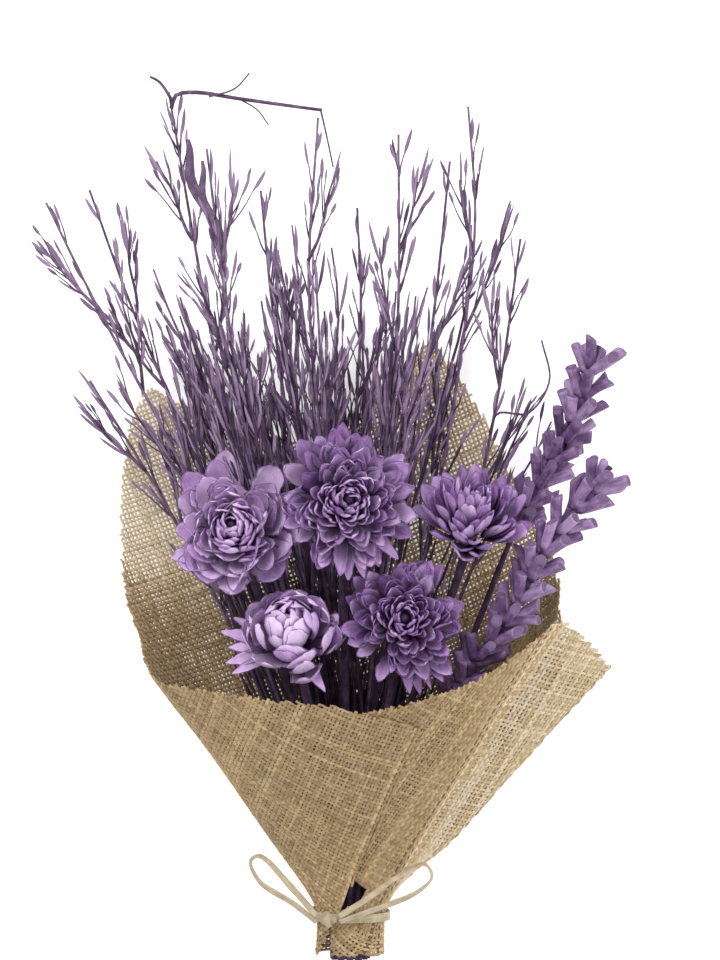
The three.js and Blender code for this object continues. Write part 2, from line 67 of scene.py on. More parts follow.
table_material = bpy.data.materials.new("white_table")
table_material.use_nodes = True
table_shader = table_material.node_tree.nodes["Principled BSDF"]
table_shader.inputs["Base Color"].default_value = (0.93, 0.93, 0.925, 1)
table_shader.inputs["Roughness"].default_value = 0.9
table_shader.inputs["Emission Color"].default_value = (1, 1, 1, 1)
table_shader.inputs["Emission Strength"].default_value = 0.42
table_mesh = bpy.data.meshes.new("table")
table_mesh.from_pydata([(-3, -3, 0), (3, -3, 0), (3, 3, 0), (-3, 3, 0)], [], [(0, 1, 2, 3)])
table_mesh.materials.append(table_material)
table = bpy.data.objects.new("table", table_mesh)
bpy.context.scene.collection.objects.link(table)

world = bpy.data.worlds.new("studio")
bpy.context.scene.world = world
world.use_nodes = True
world.node_tree.nodes["Background"].inputs["Color"].default_value = (1.0, 1.0, 1.0, 1)
world.node_tree.nodes["Background"].inputs["Strength"].default_value = 0.70


def add_light(name, place, aim, size, power):
    """Square soft box at a place in metres, turned to face the aim."""
    data = bpy.data.lights.new(name, "AREA")
    data.size = size
    data.energy = power
    light = bpy.data.objects.new(name, data)
    light.location = place
    away = np.array(place) - np.array(aim)
    away /= np.linalg.norm(away)
    light.rotation_euler = (math.acos(away[2]), 0.0, math.atan2(away[1], away[0]) + math.pi / 2)
    bpy.context.scene.collection.objects.link(light)


add_light("key_light", (-0.7, 1.1, 1.3), (0, 0.1, 0), 0.9, 15.0)
add_light("fill_light", (1.3, 0.1, 1.2), (0, 0.1, 0), 1.2, 12.0)


# ---------------------------------------------------------------------------------------------
# Hessian wrap
# One sheet of open plain-woven jute, rolled into a cone round the stems, its left front edge over
# its right one, with a flat pleat standing out at the right. It is cut with frayed edges.
# ---------------------------------------------------------------------------------------------
APEX_BELOW_TIE = 22.0
CLOTH_BELOW_TIE = 21.0
CLOTH_THICKNESS = 1.4
CONE_HALF_WIDTH = 0.645
CONE_SHIFT = -0.04
CONE_DEPTH = 0.69
SIDE_LEVEL = 0.27
BACK_FLAT = 0.36
NECK_HALF_WIDTH = 16.6
NECK_DEPTH = 33.5
NECK_LIFT = 2.6
LAYER_STEP = 2.6
FLAP_WIDTH = 0.29
FLAP_DROP = 0.14
FLAP_GAP = 2.4
FREE_EDGE_LEAN = 0.385
FREE_EDGE_START = -15.0
UNDERLAP = 0.5
OPENING = 0.95
# Cut edge of the sheet: its height over the tie along each stretch, as (place, height) pairs.
LEFT_PANEL_EDGE = ((0, 106), (0.25, 117), (0.5, 123), (0.78, 127), (0.92, 130), (1, 134))
BACK_EDGE = ((-1, 134), (-0.87, 149), (-0.79, 172), (-0.71, 194), (-0.65, 215), (-0.57, 247),
             (-0.515, 270), (-0.44, 288), (-0.36, 276),
             (0, 250), (0.14, 292), (0.24, 313), (0.4, 272), (0.55, 232), (0.7, 200), (0.88, 170), (1, 160))
FLAP_EDGE = ((0, 162), (1, 134))
RIGHT_PANEL_EDGE = ((0, 161), (0.12, 153), (0.3, 139), (0.5, 128), (0.72, 119), (1, 112))
LOWER_FLAP_SHORTER = 13.0


def smooth_step(value, low, high):
    """0 below low, 1 above high, and a cubic ease between them."""
    share = np.clip((value - low) / (high - low), 0.0, 1.0)
    return share * share * (3.0 - 2.0 * share)


def smooth_max(first, second):
    """Rounded maximum: the eighth root of the sum of the eighth powers."""
    return (first ** 8 + second ** 8) ** 0.125


def mix(first, second, share):
    """Straight blend from the first value to the second."""
    return first + (second - first) * share


def cone_sizes(y):
    """Distance over the apex, half width, depth, centre, back level, side level and neck share at heights."""
    over = np.maximum(y + APEX_BELOW_TIE, 1.0)
    neck = 1.0 - smooth_step(y, 6.0, 34.0)
    half = smooth_max(CONE_HALF_WIDTH * over, NECK_HALF_WIDTH)
    depth = smooth_max(CONE_DEPTH * over, NECK_DEPTH)
    centre = CONE_SHIFT * over * (1.0 - neck)
    back = NECK_LIFT * neck + CLOTH_THICKNESS / 2
    side = mix(SIDE_LEVEL / CONE_DEPTH, 0.5, neck) * depth
    return over, half, depth, centre, back, side, neck


def front_of_wrap(y, angle, offset):
    """Upper half of an ellipse in each cross-section, angle 0 at the right and pi at the left."""
    _, half, depth, centre, back, side, _ = cone_sizes(y)
    x = centre + (half + offset) * np.cos(angle)
    z = back + side + (depth - side + offset) * np.sin(angle)
    return np.stack([x, y + 0 * x, z], -1)


def back_of_wrap(y, share):
    """Flat in the middle half, then a quarter ellipse up to each side; round where it nears the neck."""
    _, half, depth, centre, back, side, neck = cone_sizes(y)
    spread = np.abs(share)
    turn = np.maximum(spread - 0.5, 0.0) * np.pi
    flat = BACK_FLAT / CONE_HALF_WIDTH
    cone_across = np.where(spread <= 0.5, 2 * flat * spread, flat + (1 - flat) * np.sin(turn))
    across = mix(cone_across, np.sin(spread * np.pi / 2), neck)
    rise = mix(1 - np.cos(turn), 1 - np.cos(spread * np.pi / 2), neck)
    x = centre + half * np.sign(share) * across
    return np.stack([x, y + 0 * x, back + side * rise], -1)


def flap_of_wrap(y, share, layer):
    """Two layers from the crease (share 0) to the outer fold (share 1), drooping as a power of the share."""
    over, half, _, centre, back, side, neck = cone_sizes(y)
    width = 1.6 + FLAP_WIDTH * over * smooth_step(y, 8.0, 38.0)
    drop = FLAP_DROP * over * (1 - neck) * share ** 1.5
    gap = FLAP_GAP / 2 * layer * np.sqrt(np.maximum(1 - share ** 6, 0.0))
    x = centre + half + width * share
    return np.stack([x, y + 0 * x, back + side - drop + gap], -1)


def free_edge_angle(y):
    """Angle on the front ellipse where the left panel's free edge lies."""
    over, half, _, centre, _, _, _ = cone_sizes(y)
    return np.arccos(np.clip((FREE_EDGE_LEAN * over + FREE_EDGE_START - centre) / half, -0.9, 0.9))


def edge_height(pairs, place):
    """Height of the cut edge at a place, straight between the pairs."""
    places, heights = np.array(pairs).T
    return np.interp(place, places, heights)


def underlap_angle(y):
    """How far the right panel runs under the left one; just above the tie it stops short and leaves a gap."""
    return UNDERLAP - OPENING * smooth_step(y, 3.0, 8.0) * (1 - smooth_step(y, 12.0, 30.0))


# The sheet as a dense grid: stations round the bouquet by heights over the tie. The grid runs on past each
# free edge of the front, where the room left inside the cut edge falls to nothing and goes below it.
GRID_TOP = 322.0
LEFT_START = 0.75
RIGHT_START, RIGHT_END = 0.16, 2.3
FREE_EDGE_ROOM = 60.0
CLOTH_RIPPLE = 0.8
heights = np.linspace(-CLOTH_BELOW_TIE - 2, GRID_TOP, 173)[None, :]
left_angle = np.linspace(LEFT_START, np.pi, 70)[:, None]
back_share = np.linspace(-1, 0.93, 90)[1:, None]
lower_flap = np.linspace(0.12, 0.96, 24)[:, None]
upper_flap = lower_flap[::-1]
right_angle = np.linspace(RIGHT_START, RIGHT_END, 60)[:, None]
left_share = (left_angle - free_edge_angle(heights)) / (np.pi - free_edge_angle(heights))
left_step = LAYER_STEP * (1 - smooth_step(left_share, 0.45, 0.95))
sheet_points = np.concatenate([
    front_of_wrap(heights, left_angle, left_step),
    back_of_wrap(heights, back_share),
    flap_of_wrap(heights, lower_flap, -1),
    flap_of_wrap(heights, np.array([[1.0]]), 0),
    flap_of_wrap(heights, upper_flap, 1),
    front_of_wrap(heights, right_angle, 0 * heights),
])
left_room = np.minimum(edge_height(LEFT_PANEL_EDGE, left_share) - heights, left_share * FREE_EDGE_ROOM)
shortfall = LOWER_FLAP_SHORTER * np.sin(np.pi * np.minimum(lower_flap, 0.98))
lower_top = edge_height(FLAP_EDGE, lower_flap) - shortfall
right_end = free_edge_angle(heights) + underlap_angle(heights)
right_share = (right_angle - RIGHT_START) / (right_end - RIGHT_START)
right_room = np.minimum(edge_height(RIGHT_PANEL_EDGE, right_share) - heights,
                        (1 - right_share) * FREE_EDGE_ROOM)
sheet_room = np.concatenate([
    left_room,
    edge_height(BACK_EDGE, back_share) - heights,
    lower_top - heights,
    FLAP_EDGE[1][1] - heights,
    edge_height(FLAP_EDGE, upper_flap) - heights,
    right_room,
])
sheet_room = np.minimum(sheet_room, heights + CLOTH_BELOW_TIE)

# Soft unevenness of the cloth where it does not lie on the table.
station_count, height_count = sheet_room.shape
ripple_station, ripple_height = np.meshgrid(np.arange(station_count), heights[0], indexing="ij")
ripple = (np.sin(ripple_station * 0.11 + ripple_height * 0.031) * np.sin(ripple_height * 0.052 + 1.0)
          + 0.5 * np.sin(ripple_station * 0.23 - ripple_height * 0.045 + 2.0))
sheet_normals = np.cross(np.gradient(sheet_points, axis=0), np.gradient(sheet_points, axis=1))
sheet_normals /= np.maximum(np.linalg.norm(sheet_normals, axis=2, keepdims=True), 1e-9)
lifted = smooth_step(sheet_points[:, :, 2], 3.0, 18.0) * smooth_step(ripple_height, 10.0, 60.0)
sheet_points = sheet_points + sheet_normals * (ripple * lifted * CLOTH_RIPPLE)[:, :, None]

# The cone laid flat: each station is a ray at an angle, and a point's radius is its slant distance.
FLAT_ANGLE_STRETCH = 1.06
FLAT_RADIUS_SHIFT = 22.0
ANGLE_CUT = 3.9
rays = sheet_points[:, -8] - np.array([0.0, -APEX_BELOW_TIE, 0.0])
rays /= np.linalg.norm(rays, axis=1, keepdims=True)
ray_angle = np.concatenate([[0.0], np.cumsum(np.linalg.norm(np.diff(rays, axis=0), axis=1))])
crease_station = station_count - right_angle.shape[0]
ray_angle = FLAT_ANGLE_STRETCH * (ray_angle - ray_angle[crease_station])


def sample_sheet(grid, station, height):
    """Bilinear value of a station-by-height grid at float indices."""
    low_station = np.clip(np.floor(station).astype(int), 0, station_count - 2)
    low_height = np.clip(np.floor(height).astype(int), 0, height_count - 2)
    across = np.clip(station - low_station, 0, 1)
    up = np.clip(height - low_height, 0, 1)
    if grid.ndim == 3:
        across, up = across[..., None], up[..., None]
    lower = mix(grid[low_station, low_height], grid[low_station + 1, low_height], across)
    upper = mix(grid[low_station, low_height + 1], grid[low_station + 1, low_height + 1], across)
    return mix(lower, upper, up)


def place_on_sheet(along, aside):
    """
    Positions, normals, room to the cut edge, validity, yarn width and painted light and shade of flat
    points, by way of their polar form, whose angles run on from minus the angle cut.
    """
    angle = np.mod(np.arctan2(aside, along) + ANGLE_CUT, 2 * np.pi) - ANGLE_CUT
    radius = np.hypot(along, aside) - FLAT_RADIUS_SHIFT
    station = np.interp(angle, ray_angle, np.arange(station_count))
    y = radius * np.interp(station, np.arange(station_count), rays[:, 1]) - APEX_BELOW_TIE
    height = (y - heights[0, 0]) / (heights[0, 1] - heights[0, 0])
    valid = (angle > ray_angle[0]) & (angle < ray_angle[-1]) & (height > 0) & (height < height_count - 1)
    points = sample_sheet(sheet_points, station, height)
    normals = sample_sheet(sheet_normals, station, height)
    width = np.interp(station, *zip(*YARN_WIDTHS))
    width = width + np.interp(station, *zip(*BACK_WIDENING)) * (1 - smooth_step(y, *WIDENING_ENDS))
    # Painted light and shade of the place: lighter where the cloth faces the light, darker where it lies in
    # shade.
    low, high = (np.interp(station, *zip(*levels)) for levels in (PAINTED_LIGHT_LOW, PAINTED_LIGHT_HIGH))
    painted_light = mix(low, high, smooth_step(y, *PAINTED_LIGHT_RISES))
    return points, normals, sample_sheet(sheet_room, station, height), valid, width, painted_light


YARN_PITCH = 2.55
YARN_DEPTH = 0.64
# Round the sheet by station: how wide the yarns lie, and the painted light and shade in the cloth's tone low
# down and high up, lighter on the pleat and the upper back and darker on the low back between the heads and
# on the front panels.
YARN_WIDTHS = ((0, 1.62), (66, 1.58), (84, 1.40), (150, 1.40), (164, 1.52), (210, 1.62), (267, 1.62))
BACK_WIDENING = ((0, 0.0), (66, 0.0), (76, 0.42), (150, 0.42), (160, 0.0))
PAINTED_LIGHT_LOW = ((0, -0.28), (66, -0.2), (84, -0.8), (140, -0.6),
             (160, 0.0), (184, 0.4), (206, 0.45), (216, -0.3))
PAINTED_LIGHT_HIGH = ((0, -0.28), (66, 0.0), (84, 0.9), (105, 0.6), (140, 0.2),
              (160, 0.2), (184, 0.4), (206, 0.45), (216, -0.3))
# Between which heights over the tie the widening ends, and the low painted light and shade gives way to the
# high one.
WIDENING_ENDS = (150.0, 215.0)
PAINTED_LIGHT_RISES = (140.0, 220.0)
WEFT_SLIMNESS = 0.86
WEAVE_HEIGHT = 0.32
FRAY = 1.5
FLAT_REACH = 420.0
# Dark lines of the warp, counted from the crease of the pleat.
STRIPE_LINES = (1, 4)
# Unevenness of the yarns: drift of a line over so many crossings, its offset, slubs, size and tone by yarn.
LINE_DRIFT = 0.055
DRIFT_SPAN = 41
LINE_OFFSET = 0.12
SLUBS = 0.13
YARN_SPREAD = 0.1
TONE_SPREAD = 0.75


def yarns(crosswise, seed):
    """
    All yarns one way: straight lines a pitch apart on the flat cloth, rising and dipping by turns
    where they cross the other set, with a flat rectangular section whose width wanders along the yarn.
    """
    rng = np.random.default_rng(seed)
    count = int(2 * FLAT_REACH / YARN_PITCH) + 1
    number = np.arange(count) - count // 2
    step = number * YARN_PITCH
    wander = np.cumsum(rng.normal(0, LINE_DRIFT, (count, count)), axis=1)
    wander -= np.apply_along_axis(np.convolve, 1, wander, np.ones(DRIFT_SPAN) / DRIFT_SPAN, "same")
    line = step[:, None] + wander + rng.normal(0, LINE_OFFSET, (count, 1))
    along = np.broadcast_to(step[None, :], line.shape)
    flat = (line, along) if crosswise else (along, line)
    points, normals, room, valid, width, painted_light = place_on_sheet(*flat)
    inside = valid & (room > -FRAY * rng.random((count, 1)) ** 1.5)
    inside &= np.roll(inside, 1, 1) | np.roll(inside, -1, 1)
    rise = np.where((number[:, None] + number[None, :]) % 2 == 0, WEAVE_HEIGHT, -WEAVE_HEIGHT)
    rise = -rise if crosswise else rise
    points = points + normals * rise[:, :, None]
    tangent = np.gradient(points, axis=1)
    lateral = np.cross(normals, tangent)
    lateral /= np.maximum(np.linalg.norm(lateral, axis=2, keepdims=True), 1e-9)
    slub = rng.normal(0, 1, (count, count))
    slub = (slub + np.roll(slub, 1, 1) + np.roll(slub, 2, 1) + np.roll(slub, 3, 1)) / 2
    thickness = 1 + SLUBS * slub + rng.normal(0, YARN_SPREAD, (count, 1))
    width = width * (WEFT_SLIMNESS if crosswise else 1.0)
    wide = lateral * (width / 2 * np.clip(thickness, 0.6, 1.35))[:, :, None]
    deep = normals * (YARN_DEPTH / 2 * np.clip(thickness, 0.7, 1.25))[:, :, None]
    corners = np.stack([points + wide + deep, points - wide + deep,
                        points - wide - deep, points + wide - deep], 2)
    corners[..., 2] = np.maximum(corners[..., 2], 0.05)
    # Each yarn's tone: a random spread plus the painted light and shade of its place on the sheet.
    tone = TONE_SPREAD * rng.random((count, 1)) + painted_light
    if crosswise:
        stripe = np.zeros(line.shape)
    else:
        stripe = np.broadcast_to(np.isin(number, STRIPE_LINES)[:, None], line.shape).astype(float)
    return corners, inside, tone, stripe, along


def yarn_mesh(name, corners, inside, tone, stripe, along, material):
    """Mesh of the yarn runs that lie inside the cut edge: four side faces per step and a cap on each end."""
    order = np.full(inside.shape, -1)
    order[inside] = np.arange(inside.sum()) * 4
    here, beyond = order[:, :-1], order[:, 1:]
    run = (here >= 0) & (beyond >= 0)
    start, end = here[run][:, None], beyond[run][:, None]
    side = np.arange(4)[None, :]
    turn = (side + 1) % 4
    walls = np.stack([start + side, start + turn, end + turn, end + side], -1).reshape(-1, 4)
    first = order[:, 1:][(here < 0) & (beyond >= 0)][:, None]
    last = order[:, :-1][(here >= 0) & (beyond < 0)][:, None]
    caps = np.concatenate([first + np.array([[3, 2, 1, 0]]), last + np.array([[0, 1, 2, 3]])])
    begin, finish = along[:, :-1][run], along[:, 1:][run]
    lengthwise = np.stack([begin, begin, finish, finish], -1)[:, None, :].repeat(4, 1)
    around = np.broadcast_to(np.array([[s, s + 1, s + 1, s] for s in range(4)]) / 4.0, lengthwise.shape)
    wall_uv = np.stack([lengthwise, around], -1).reshape(-1, 2)
    cap_uv = np.zeros((len(caps) * 4, 2))
    attributes = {"tone": np.repeat(tone[inside], 4), "stripe": np.repeat(stripe[inside], 4)}
    return add_mesh(name, corners[inside].reshape(-1, 3), np.concatenate([walls, caps]).tolist(), material,
                    np.concatenate([wall_uv, cap_uv]), attributes)


def add_mesh(name, points, faces, material, uv=None, attributes=None):
    """Object at the origin from points in millimetres from the tie and a list of faces."""
    mesh = bpy.data.meshes.new(name)
    placed = (np.asarray(points) + np.array([0.0, TIE_Y, 0.0])) * MM
    mesh.from_pydata(placed.tolist(), [], faces)
    if uv is not None:
        layer = mesh.uv_layers.new(name="surface")
        layer.uv.foreach_set("vector", np.asarray(uv, dtype=np.float32).ravel())
    for title, values in (attributes or {}).items():
        attribute = mesh.attributes.new(title, "FLOAT", "POINT")
        attribute.data.foreach_set("value", np.asarray(values, dtype=np.float32))
    mesh.shade_smooth()
    mesh.materials.append(material)
    piece = bpy.data.objects.new(name, mesh)
    bpy.context.scene.collection.objects.link(piece)
    return piece


def new_material(name, roughness):
    """Empty principled material, its node tree and its shader."""
    material = bpy.data.materials.new(name)
    material.use_nodes = True
    shader = material.node_tree.nodes["Principled BSDF"]
    shader.inputs["Roughness"].default_value = roughness
    return material, material.node_tree, shader


def add_node(tree, kind, inputs=(), **settings):
    """Node of a kind with its properties set; its (socket, value) inputs take plain values or sockets."""
    node = tree.nodes.new(kind)
    for key, value in settings.items():
        setattr(node, key, value)
    for socket, value in inputs:
        if isinstance(value, bpy.types.NodeSocket):
            tree.links.new(value, node.inputs[socket])
        else:
            node.inputs[socket].default_value = value
    return node


def read_attributes(tree, *titles):
    """Sockets of the point attributes with these titles."""
    return [add_node(tree, "ShaderNodeAttribute", attribute_name=title).outputs["Fac"] for title in titles]


def calculate(tree, operation, *operands):
    """Result of a math node; the operands are sockets or numbers."""
    return add_node(tree, "ShaderNodeMath", enumerate(operands), operation=operation).outputs["Value"]


def add_noise(tree, vector, scale, detail, roughness=0.5):
    """Noise over a vector socket."""
    return add_node(tree, "ShaderNodeTexNoise", [
        ("Vector", vector), ("Scale", scale), ("Detail", detail), ("Roughness", roughness)]).outputs["Fac"]


def add_bump(tree, shader, height, strength, distance):
    """Fine relief on the shader from a height socket."""
    bump = add_node(tree, "ShaderNodeBump", [
        ("Height", height), ("Strength", strength), ("Distance", distance)])
    tree.links.new(bump.outputs["Normal"], shader.inputs["Normal"])


def add_ramp(tree, source, stops):
    """Colour ramp fed by a socket, with (place, colour) stops."""
    ramp = tree.nodes.new("ShaderNodeValToRGB")
    elements = ramp.color_ramp.elements
    for index, (place, colour) in enumerate(stops):
        element = elements[index] if index < 2 else elements.new(place)
        element.position = place
        element.color = (*colour, 1.0)
    tree.links.new(source, ramp.inputs["Fac"])
    return ramp.outputs["Color"]


def mix_colours(tree, share, first, second, blend="MIX"):
    """Mix node between two colours; share, first and second are sockets or plain values."""
    first, second = ((*value, 1.0) if isinstance(value, tuple) else value for value in (first, second))
    return add_node(tree, "ShaderNodeMix", [(0, share), (6, first), (7, second)],
                    data_type="RGBA", blend_type=blend).outputs[2]


def jute_material():
    """Twisted jute: tan hue by yarn, raised or lowered by the painted light and shade carried in its tone,
    fibre streaks slanting round the yarn, and dark dirt specks.
    """
    material, tree, shader = new_material("jute_yarn", 0.92)
    tone, stripe = read_attributes(tree, "tone", "stripe")
    uv = add_node(tree, "ShaderNodeUVMap", uv_map="surface")
    stretch = add_node(tree, "ShaderNodeMapping", [
        ("Vector", uv.outputs["UV"]), ("Scale", (0.5, 7.0, 1.0)), ("Rotation", (0, 0, 0.35))])
    fibre = add_noise(tree, stretch.outputs["Vector"], 2.2, 4.0, 0.7)
    patch = add_noise(tree, add_node(tree, "ShaderNodeTexCoord").outputs["Object"], 260.0, 3.0)
    body = add_ramp(tree, tone, (
        (0.0, (0.28, 0.18, 0.085)), (0.4, (0.54, 0.385, 0.19)), (1.0, (0.92, 0.80, 0.60))))
    mottled = mix_colours(tree, 0.40, body, add_ramp(tree, patch, (
        (0.3, (0.30, 0.20, 0.10)), (0.5, (0.52, 0.38, 0.21)), (0.72, (0.74, 0.60, 0.40)))))
    streaked = mix_colours(tree, 0.5, mottled, add_ramp(tree, fibre, (
        (0.3, (0.55, 0.55, 0.55)), (0.6, (1.1, 1.1, 1.1)))), "MULTIPLY")
    tree.links.new(mix_colours(tree, stripe, streaked, (0.17, 0.10, 0.055)), shader.inputs["Base Color"])
    add_bump(tree, shader, fibre, 0.6, 0.0002)
    return material


jute = jute_material()
cloth = []
for title, crosswise, seed in (("hessian_warp", False, 11), ("hessian_weft", True, 12)):
    laid = yarns(crosswise, seed)
    cloth.append(yarn_mesh(title, *laid, jute))
    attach(cloth[-1], "root")
    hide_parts("hessian_wrap")

# ---------------------------------------------------------------------------------------------
# Stems
# Every flower is fixed on a thin dyed stick and every reed spike on a cane. They run down through
# the wrap side by side into the tied neck, and are cut off level just below it.
# ---------------------------------------------------------------------------------------------
STEM_BELOW_TIE = 24.0
SLOT_PITCH = 4.7
NECK_MIDDLE = NECK_LIFT + CLOTH_THICKNESS / 2 + NECK_DEPTH / 2
STICK_STEPS = 90
HEAD_APPROACH = 12.0
FLOWER_STEM_RADIUS = 1.9
SPIKE_STEM_RADIUS = 1.6
# Flower heads: name, where the stem meets the head, the way it faces, radius, stem's slot, point on its way.
FLOWERS = (
    ("flower_left", (-60, 208, 58), (-0.12, 0.24, 1), 36, (2, 150), (-27, 105, 38)),
    ("flower_middle", (-2, 224, 79), (0.1, 0.1, 1), 38, (2, 90), (-2, 105, 48)),
    ("flower_right", (64, 207, 64), (0.08, 0.72, 0.72), 32, (1, 0), (29, 105, 38)),
    ("flower_lower_left", (-30, 149, 62), (-0.08, 0.55, 0.8), 29, (2, 120), (-15, 80, 42)),
    ("flower_lower_middle", (28, 161, 68), (0.04, 0.16, 1), 34, (2, 60), (15, 80, 42)),
)
# Spikes: name, slot, points of the cane after the neck, whorls of reeds, and where on the cane they begin.
SPIKES = (
    ("reed_spike_rear", (2, 0),
     ((36, 80, 22), (66, 150, 26), (92, 215, 32), (119, 266, 42), (133, 308, 49)), 8, 0.70),
    ("reed_spike_front", (2, 30),
     ((34, 70, 42), (58, 126, 55), (84, 163, 68), (104, 200, 76), (137, 243, 83)), 11, 0.50),
)


def unit(vectors):
    """Vectors of length one."""
    return vectors / np.maximum(np.linalg.norm(vectors, axis=-1, keepdims=True), 1e-9)


def spline(points, count):
    """Centripetal Catmull-Rom curve through the points, cut into even steps of length."""
    points = np.asarray(points, float)
    ends = np.concatenate([[2 * points[0] - points[1]], points, [2 * points[-1] - points[-2]]])
    knots = np.maximum(np.linalg.norm(np.diff(ends, axis=0), axis=1) ** 0.5, 1e-4)
    place = np.linspace(0, len(points) - 1, 40 * (len(points) - 1) + 1)
    index = np.minimum(place.astype(int), len(points) - 2)
    share = (place - index)[:, None]
    before, start, end, after = (ends[index + k] for k in range(4))
    first, middle, last = (knots[index + k][:, None] for k in range(3))
    leave = ((start - before) / first - (end - before) / (first + middle)) * middle + end - start
    arrive = ((after - end) / last - (after - start) / (middle + last)) * middle + end - start
    curve = (start + leave * share + (3 * (end - start) - 2 * leave - arrive) * share ** 2
             + (2 * (start - end) + leave + arrive) * share ** 3)
    travelled = np.concatenate([[0], np.cumsum(np.linalg.norm(np.diff(curve, axis=0), axis=1))])
    even = np.linspace(0, travelled[-1], count)
    return np.stack([np.interp(even, travelled, curve[:, axis]) for axis in range(3)], -1)


def stem_route(slot, waypoints):
    """Points of a stem: straight through its slot in the neck, then on by way of the waypoints."""
    ring, degrees = slot
    x = ring * SLOT_PITCH * math.cos(math.radians(degrees))
    z = NECK_MIDDLE + ring * SLOT_PITCH * math.sin(math.radians(degrees))
    return [(x, -STEM_BELOW_TIE, z), (x, 0, z), (x, 14, z), *waypoints]


def closed_rods(rings, poles, travelled, tone, kind):
    """
    Closed rods from their rings (rod, ring, corner, 3), each end drawn to a pole. Gives points, four- and
    three-cornered faces, their UVs, with the distance travelled first, and point attributes.
    """
    count, steps, sides, _ = rings.shape
    points = np.concatenate([rings.reshape(count, -1, 3), poles], 1)
    per_rod = steps * sides + 2
    base = (np.arange(count) * per_rod)[:, None, None]
    ring = (np.arange(steps - 1) * sides)[None, :, None]
    side = np.arange(sides)[None, None, :]
    after = (side + 1) % sides
    quads = np.stack([base + ring + side, base + ring + after, base + ring + sides + after,
                      base + ring + sides + side], -1).reshape(-1, 4)
    low_pole = base[:, 0] + steps * sides
    start, beyond = base[:, 0] + side[0], base[:, 0] + after[0]
    last = (steps - 1) * sides
    triangles = np.concatenate([
        np.stack([low_pole + 0 * start, beyond, start], -1).reshape(-1, 3),
        np.stack([low_pole + 1 + 0 * start, start + last, beyond + last], -1).reshape(-1, 3)])
    near, far = travelled[:, :-1, None] + 0.0 * side, travelled[:, 1:, None] + 0.0 * side
    around = np.broadcast_to(side, near.shape)
    quad_uv = np.stack([np.stack([near, around / sides], -1), np.stack([near, (around + 1) / sides], -1),
                        np.stack([far, (around + 1) / sides], -1), np.stack([far, around / sides], -1)], 3)
    return {
        "points": points.reshape(-1, 3), "quads": quads, "triangles": triangles,
        "quad_uv": quad_uv.reshape(-1, 2), "triangle_uv": np.zeros((triangles.size, 2)),
        "tone": np.broadcast_to(tone, (count, per_rod)).ravel(),
        "kind": np.broadcast_to(kind, (count, per_rod)).ravel(),
    }


def tubes(paths, radii, sides, flat=1.0, tone=0.5, kind=0.0):
    """Closed rods along paths of equal point count. Every ring is an ellipse square to its path."""
    paths = np.asarray(paths, float)
    count, steps, _ = paths.shape
    tangent = unit(np.gradient(paths, axis=1))
    upright = np.abs(tangent.mean(axis=1)[:, 2]) > 0.7
    guide = np.where(upright[:, None, None], np.array([1.0, 0, 0]), np.array([0, 0, 1.0]))
    across = unit(np.cross(guide, tangent))
    lift = np.cross(tangent, across)
    turn = 2 * np.pi * np.arange(sides) / sides
    radii = np.broadcast_to(radii, (count, steps))[:, :, None, None]
    rings = (paths[:, :, None] + across[:, :, None] * radii * np.cos(turn)[:, None]
             + lift[:, :, None] * radii * flat * np.sin(turn)[:, None])
    lengths = np.linalg.norm(np.diff(paths, axis=1), axis=2)
    travelled = np.concatenate([np.zeros((count, 1)), np.cumsum(lengths, axis=1)], 1)
    poles = np.concatenate([paths[:, :1], paths[:, -1:]], 1)
    return closed_rods(rings, poles, travelled, np.reshape(tone, (-1, 1)), np.reshape(kind, (-1, 1)))


def add_tubes(name, groups, material):
    """One object from several groups of tubes."""
    offset = np.cumsum([0] + [len(group["points"]) for group in groups])
    quads = np.concatenate([group["quads"] + shift for group, shift in zip(groups, offset)])
    triangles = np.concatenate([group["triangles"] + shift for group, shift in zip(groups, offset)])
    uv = np.concatenate([group["quad_uv"] for group in groups] + [group["triangle_uv"] for group in groups])
    attributes = {title: np.concatenate([group[title] for group in groups]) for title in ("tone", "kind")}
    points = np.concatenate([group["points"] for group in groups])
    return add_mesh(name, points, quads.tolist() + triangles.tolist(), material, uv, attributes)


def mount(piece, slot_name, *nodes):
    """The piece rides the bouquet and stands for the CAD nodes, which it hides; the slot name is not used."""
    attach(piece, "root")
    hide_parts(*nodes)


def dyed_material(name, deep, middle, pale, other, grain, roughness, bump_height):
    """
    Dyed plant fibre: the tone of each piece, fine streaks along it and soft blotches pick a place on
    a ramp from deep to pale, and the pieces marked by kind lean to another colour.
    """
    material, tree, shader = new_material(name, roughness)
    tone, kind = read_attributes(tree, "tone", "kind")
    uv = add_node(tree, "ShaderNodeUVMap", uv_map="surface")
    stretch = add_node(tree, "ShaderNodeMapping", [("Vector", uv.outputs["UV"]), ("Scale", grain)])
    streaks = add_noise(tree, stretch.outputs["Vector"], 1.0, 5.0, 0.65)
    blotches = add_noise(tree, add_node(tree, "ShaderNodeTexCoord").outputs["Object"], 190.0, 3.0)
    level = calculate(tree, "MULTIPLY_ADD", calculate(tree, "ADD", streaks, blotches), 0.9, -0.65)
    toned = calculate(tree, "MULTIPLY_ADD", tone, 0.75, level)
    body = add_ramp(tree, toned, ((0.0, deep), (0.5, middle), (1.0, pale)))
    tree.links.new(mix_colours(tree, kind, body, other), shader.inputs["Base Color"])
    add_bump(tree, shader, streaks, 0.5, bump_height)
    return material


stem_fibre = dyed_material("dyed_stem", (0.010, 0.004, 0.014), (0.032, 0.014, 0.042), (0.13, 0.07, 0.16),
                           (0.05, 0.02, 0.06), (0.16, 9.0, 1.0), 0.8, 0.0003)


def stick(name, route, radius, seed):
    """A slightly knobbly stick along the route: its radius waves and wanders by a few hundredths."""
    rng = np.random.default_rng(seed)
    path = spline(route, STICK_STEPS)
    waves = 0.05 * np.sin(np.arange(STICK_STEPS) * 0.9 + rng.random() * 6)
    knobs = radius * (1 + waves + rng.normal(0, 0.02, STICK_STEPS))
    return add_tubes(name, [tubes(path[None], knobs[None], 10, tone=0.35 + 0.3 * rng.random())], stem_fibre)


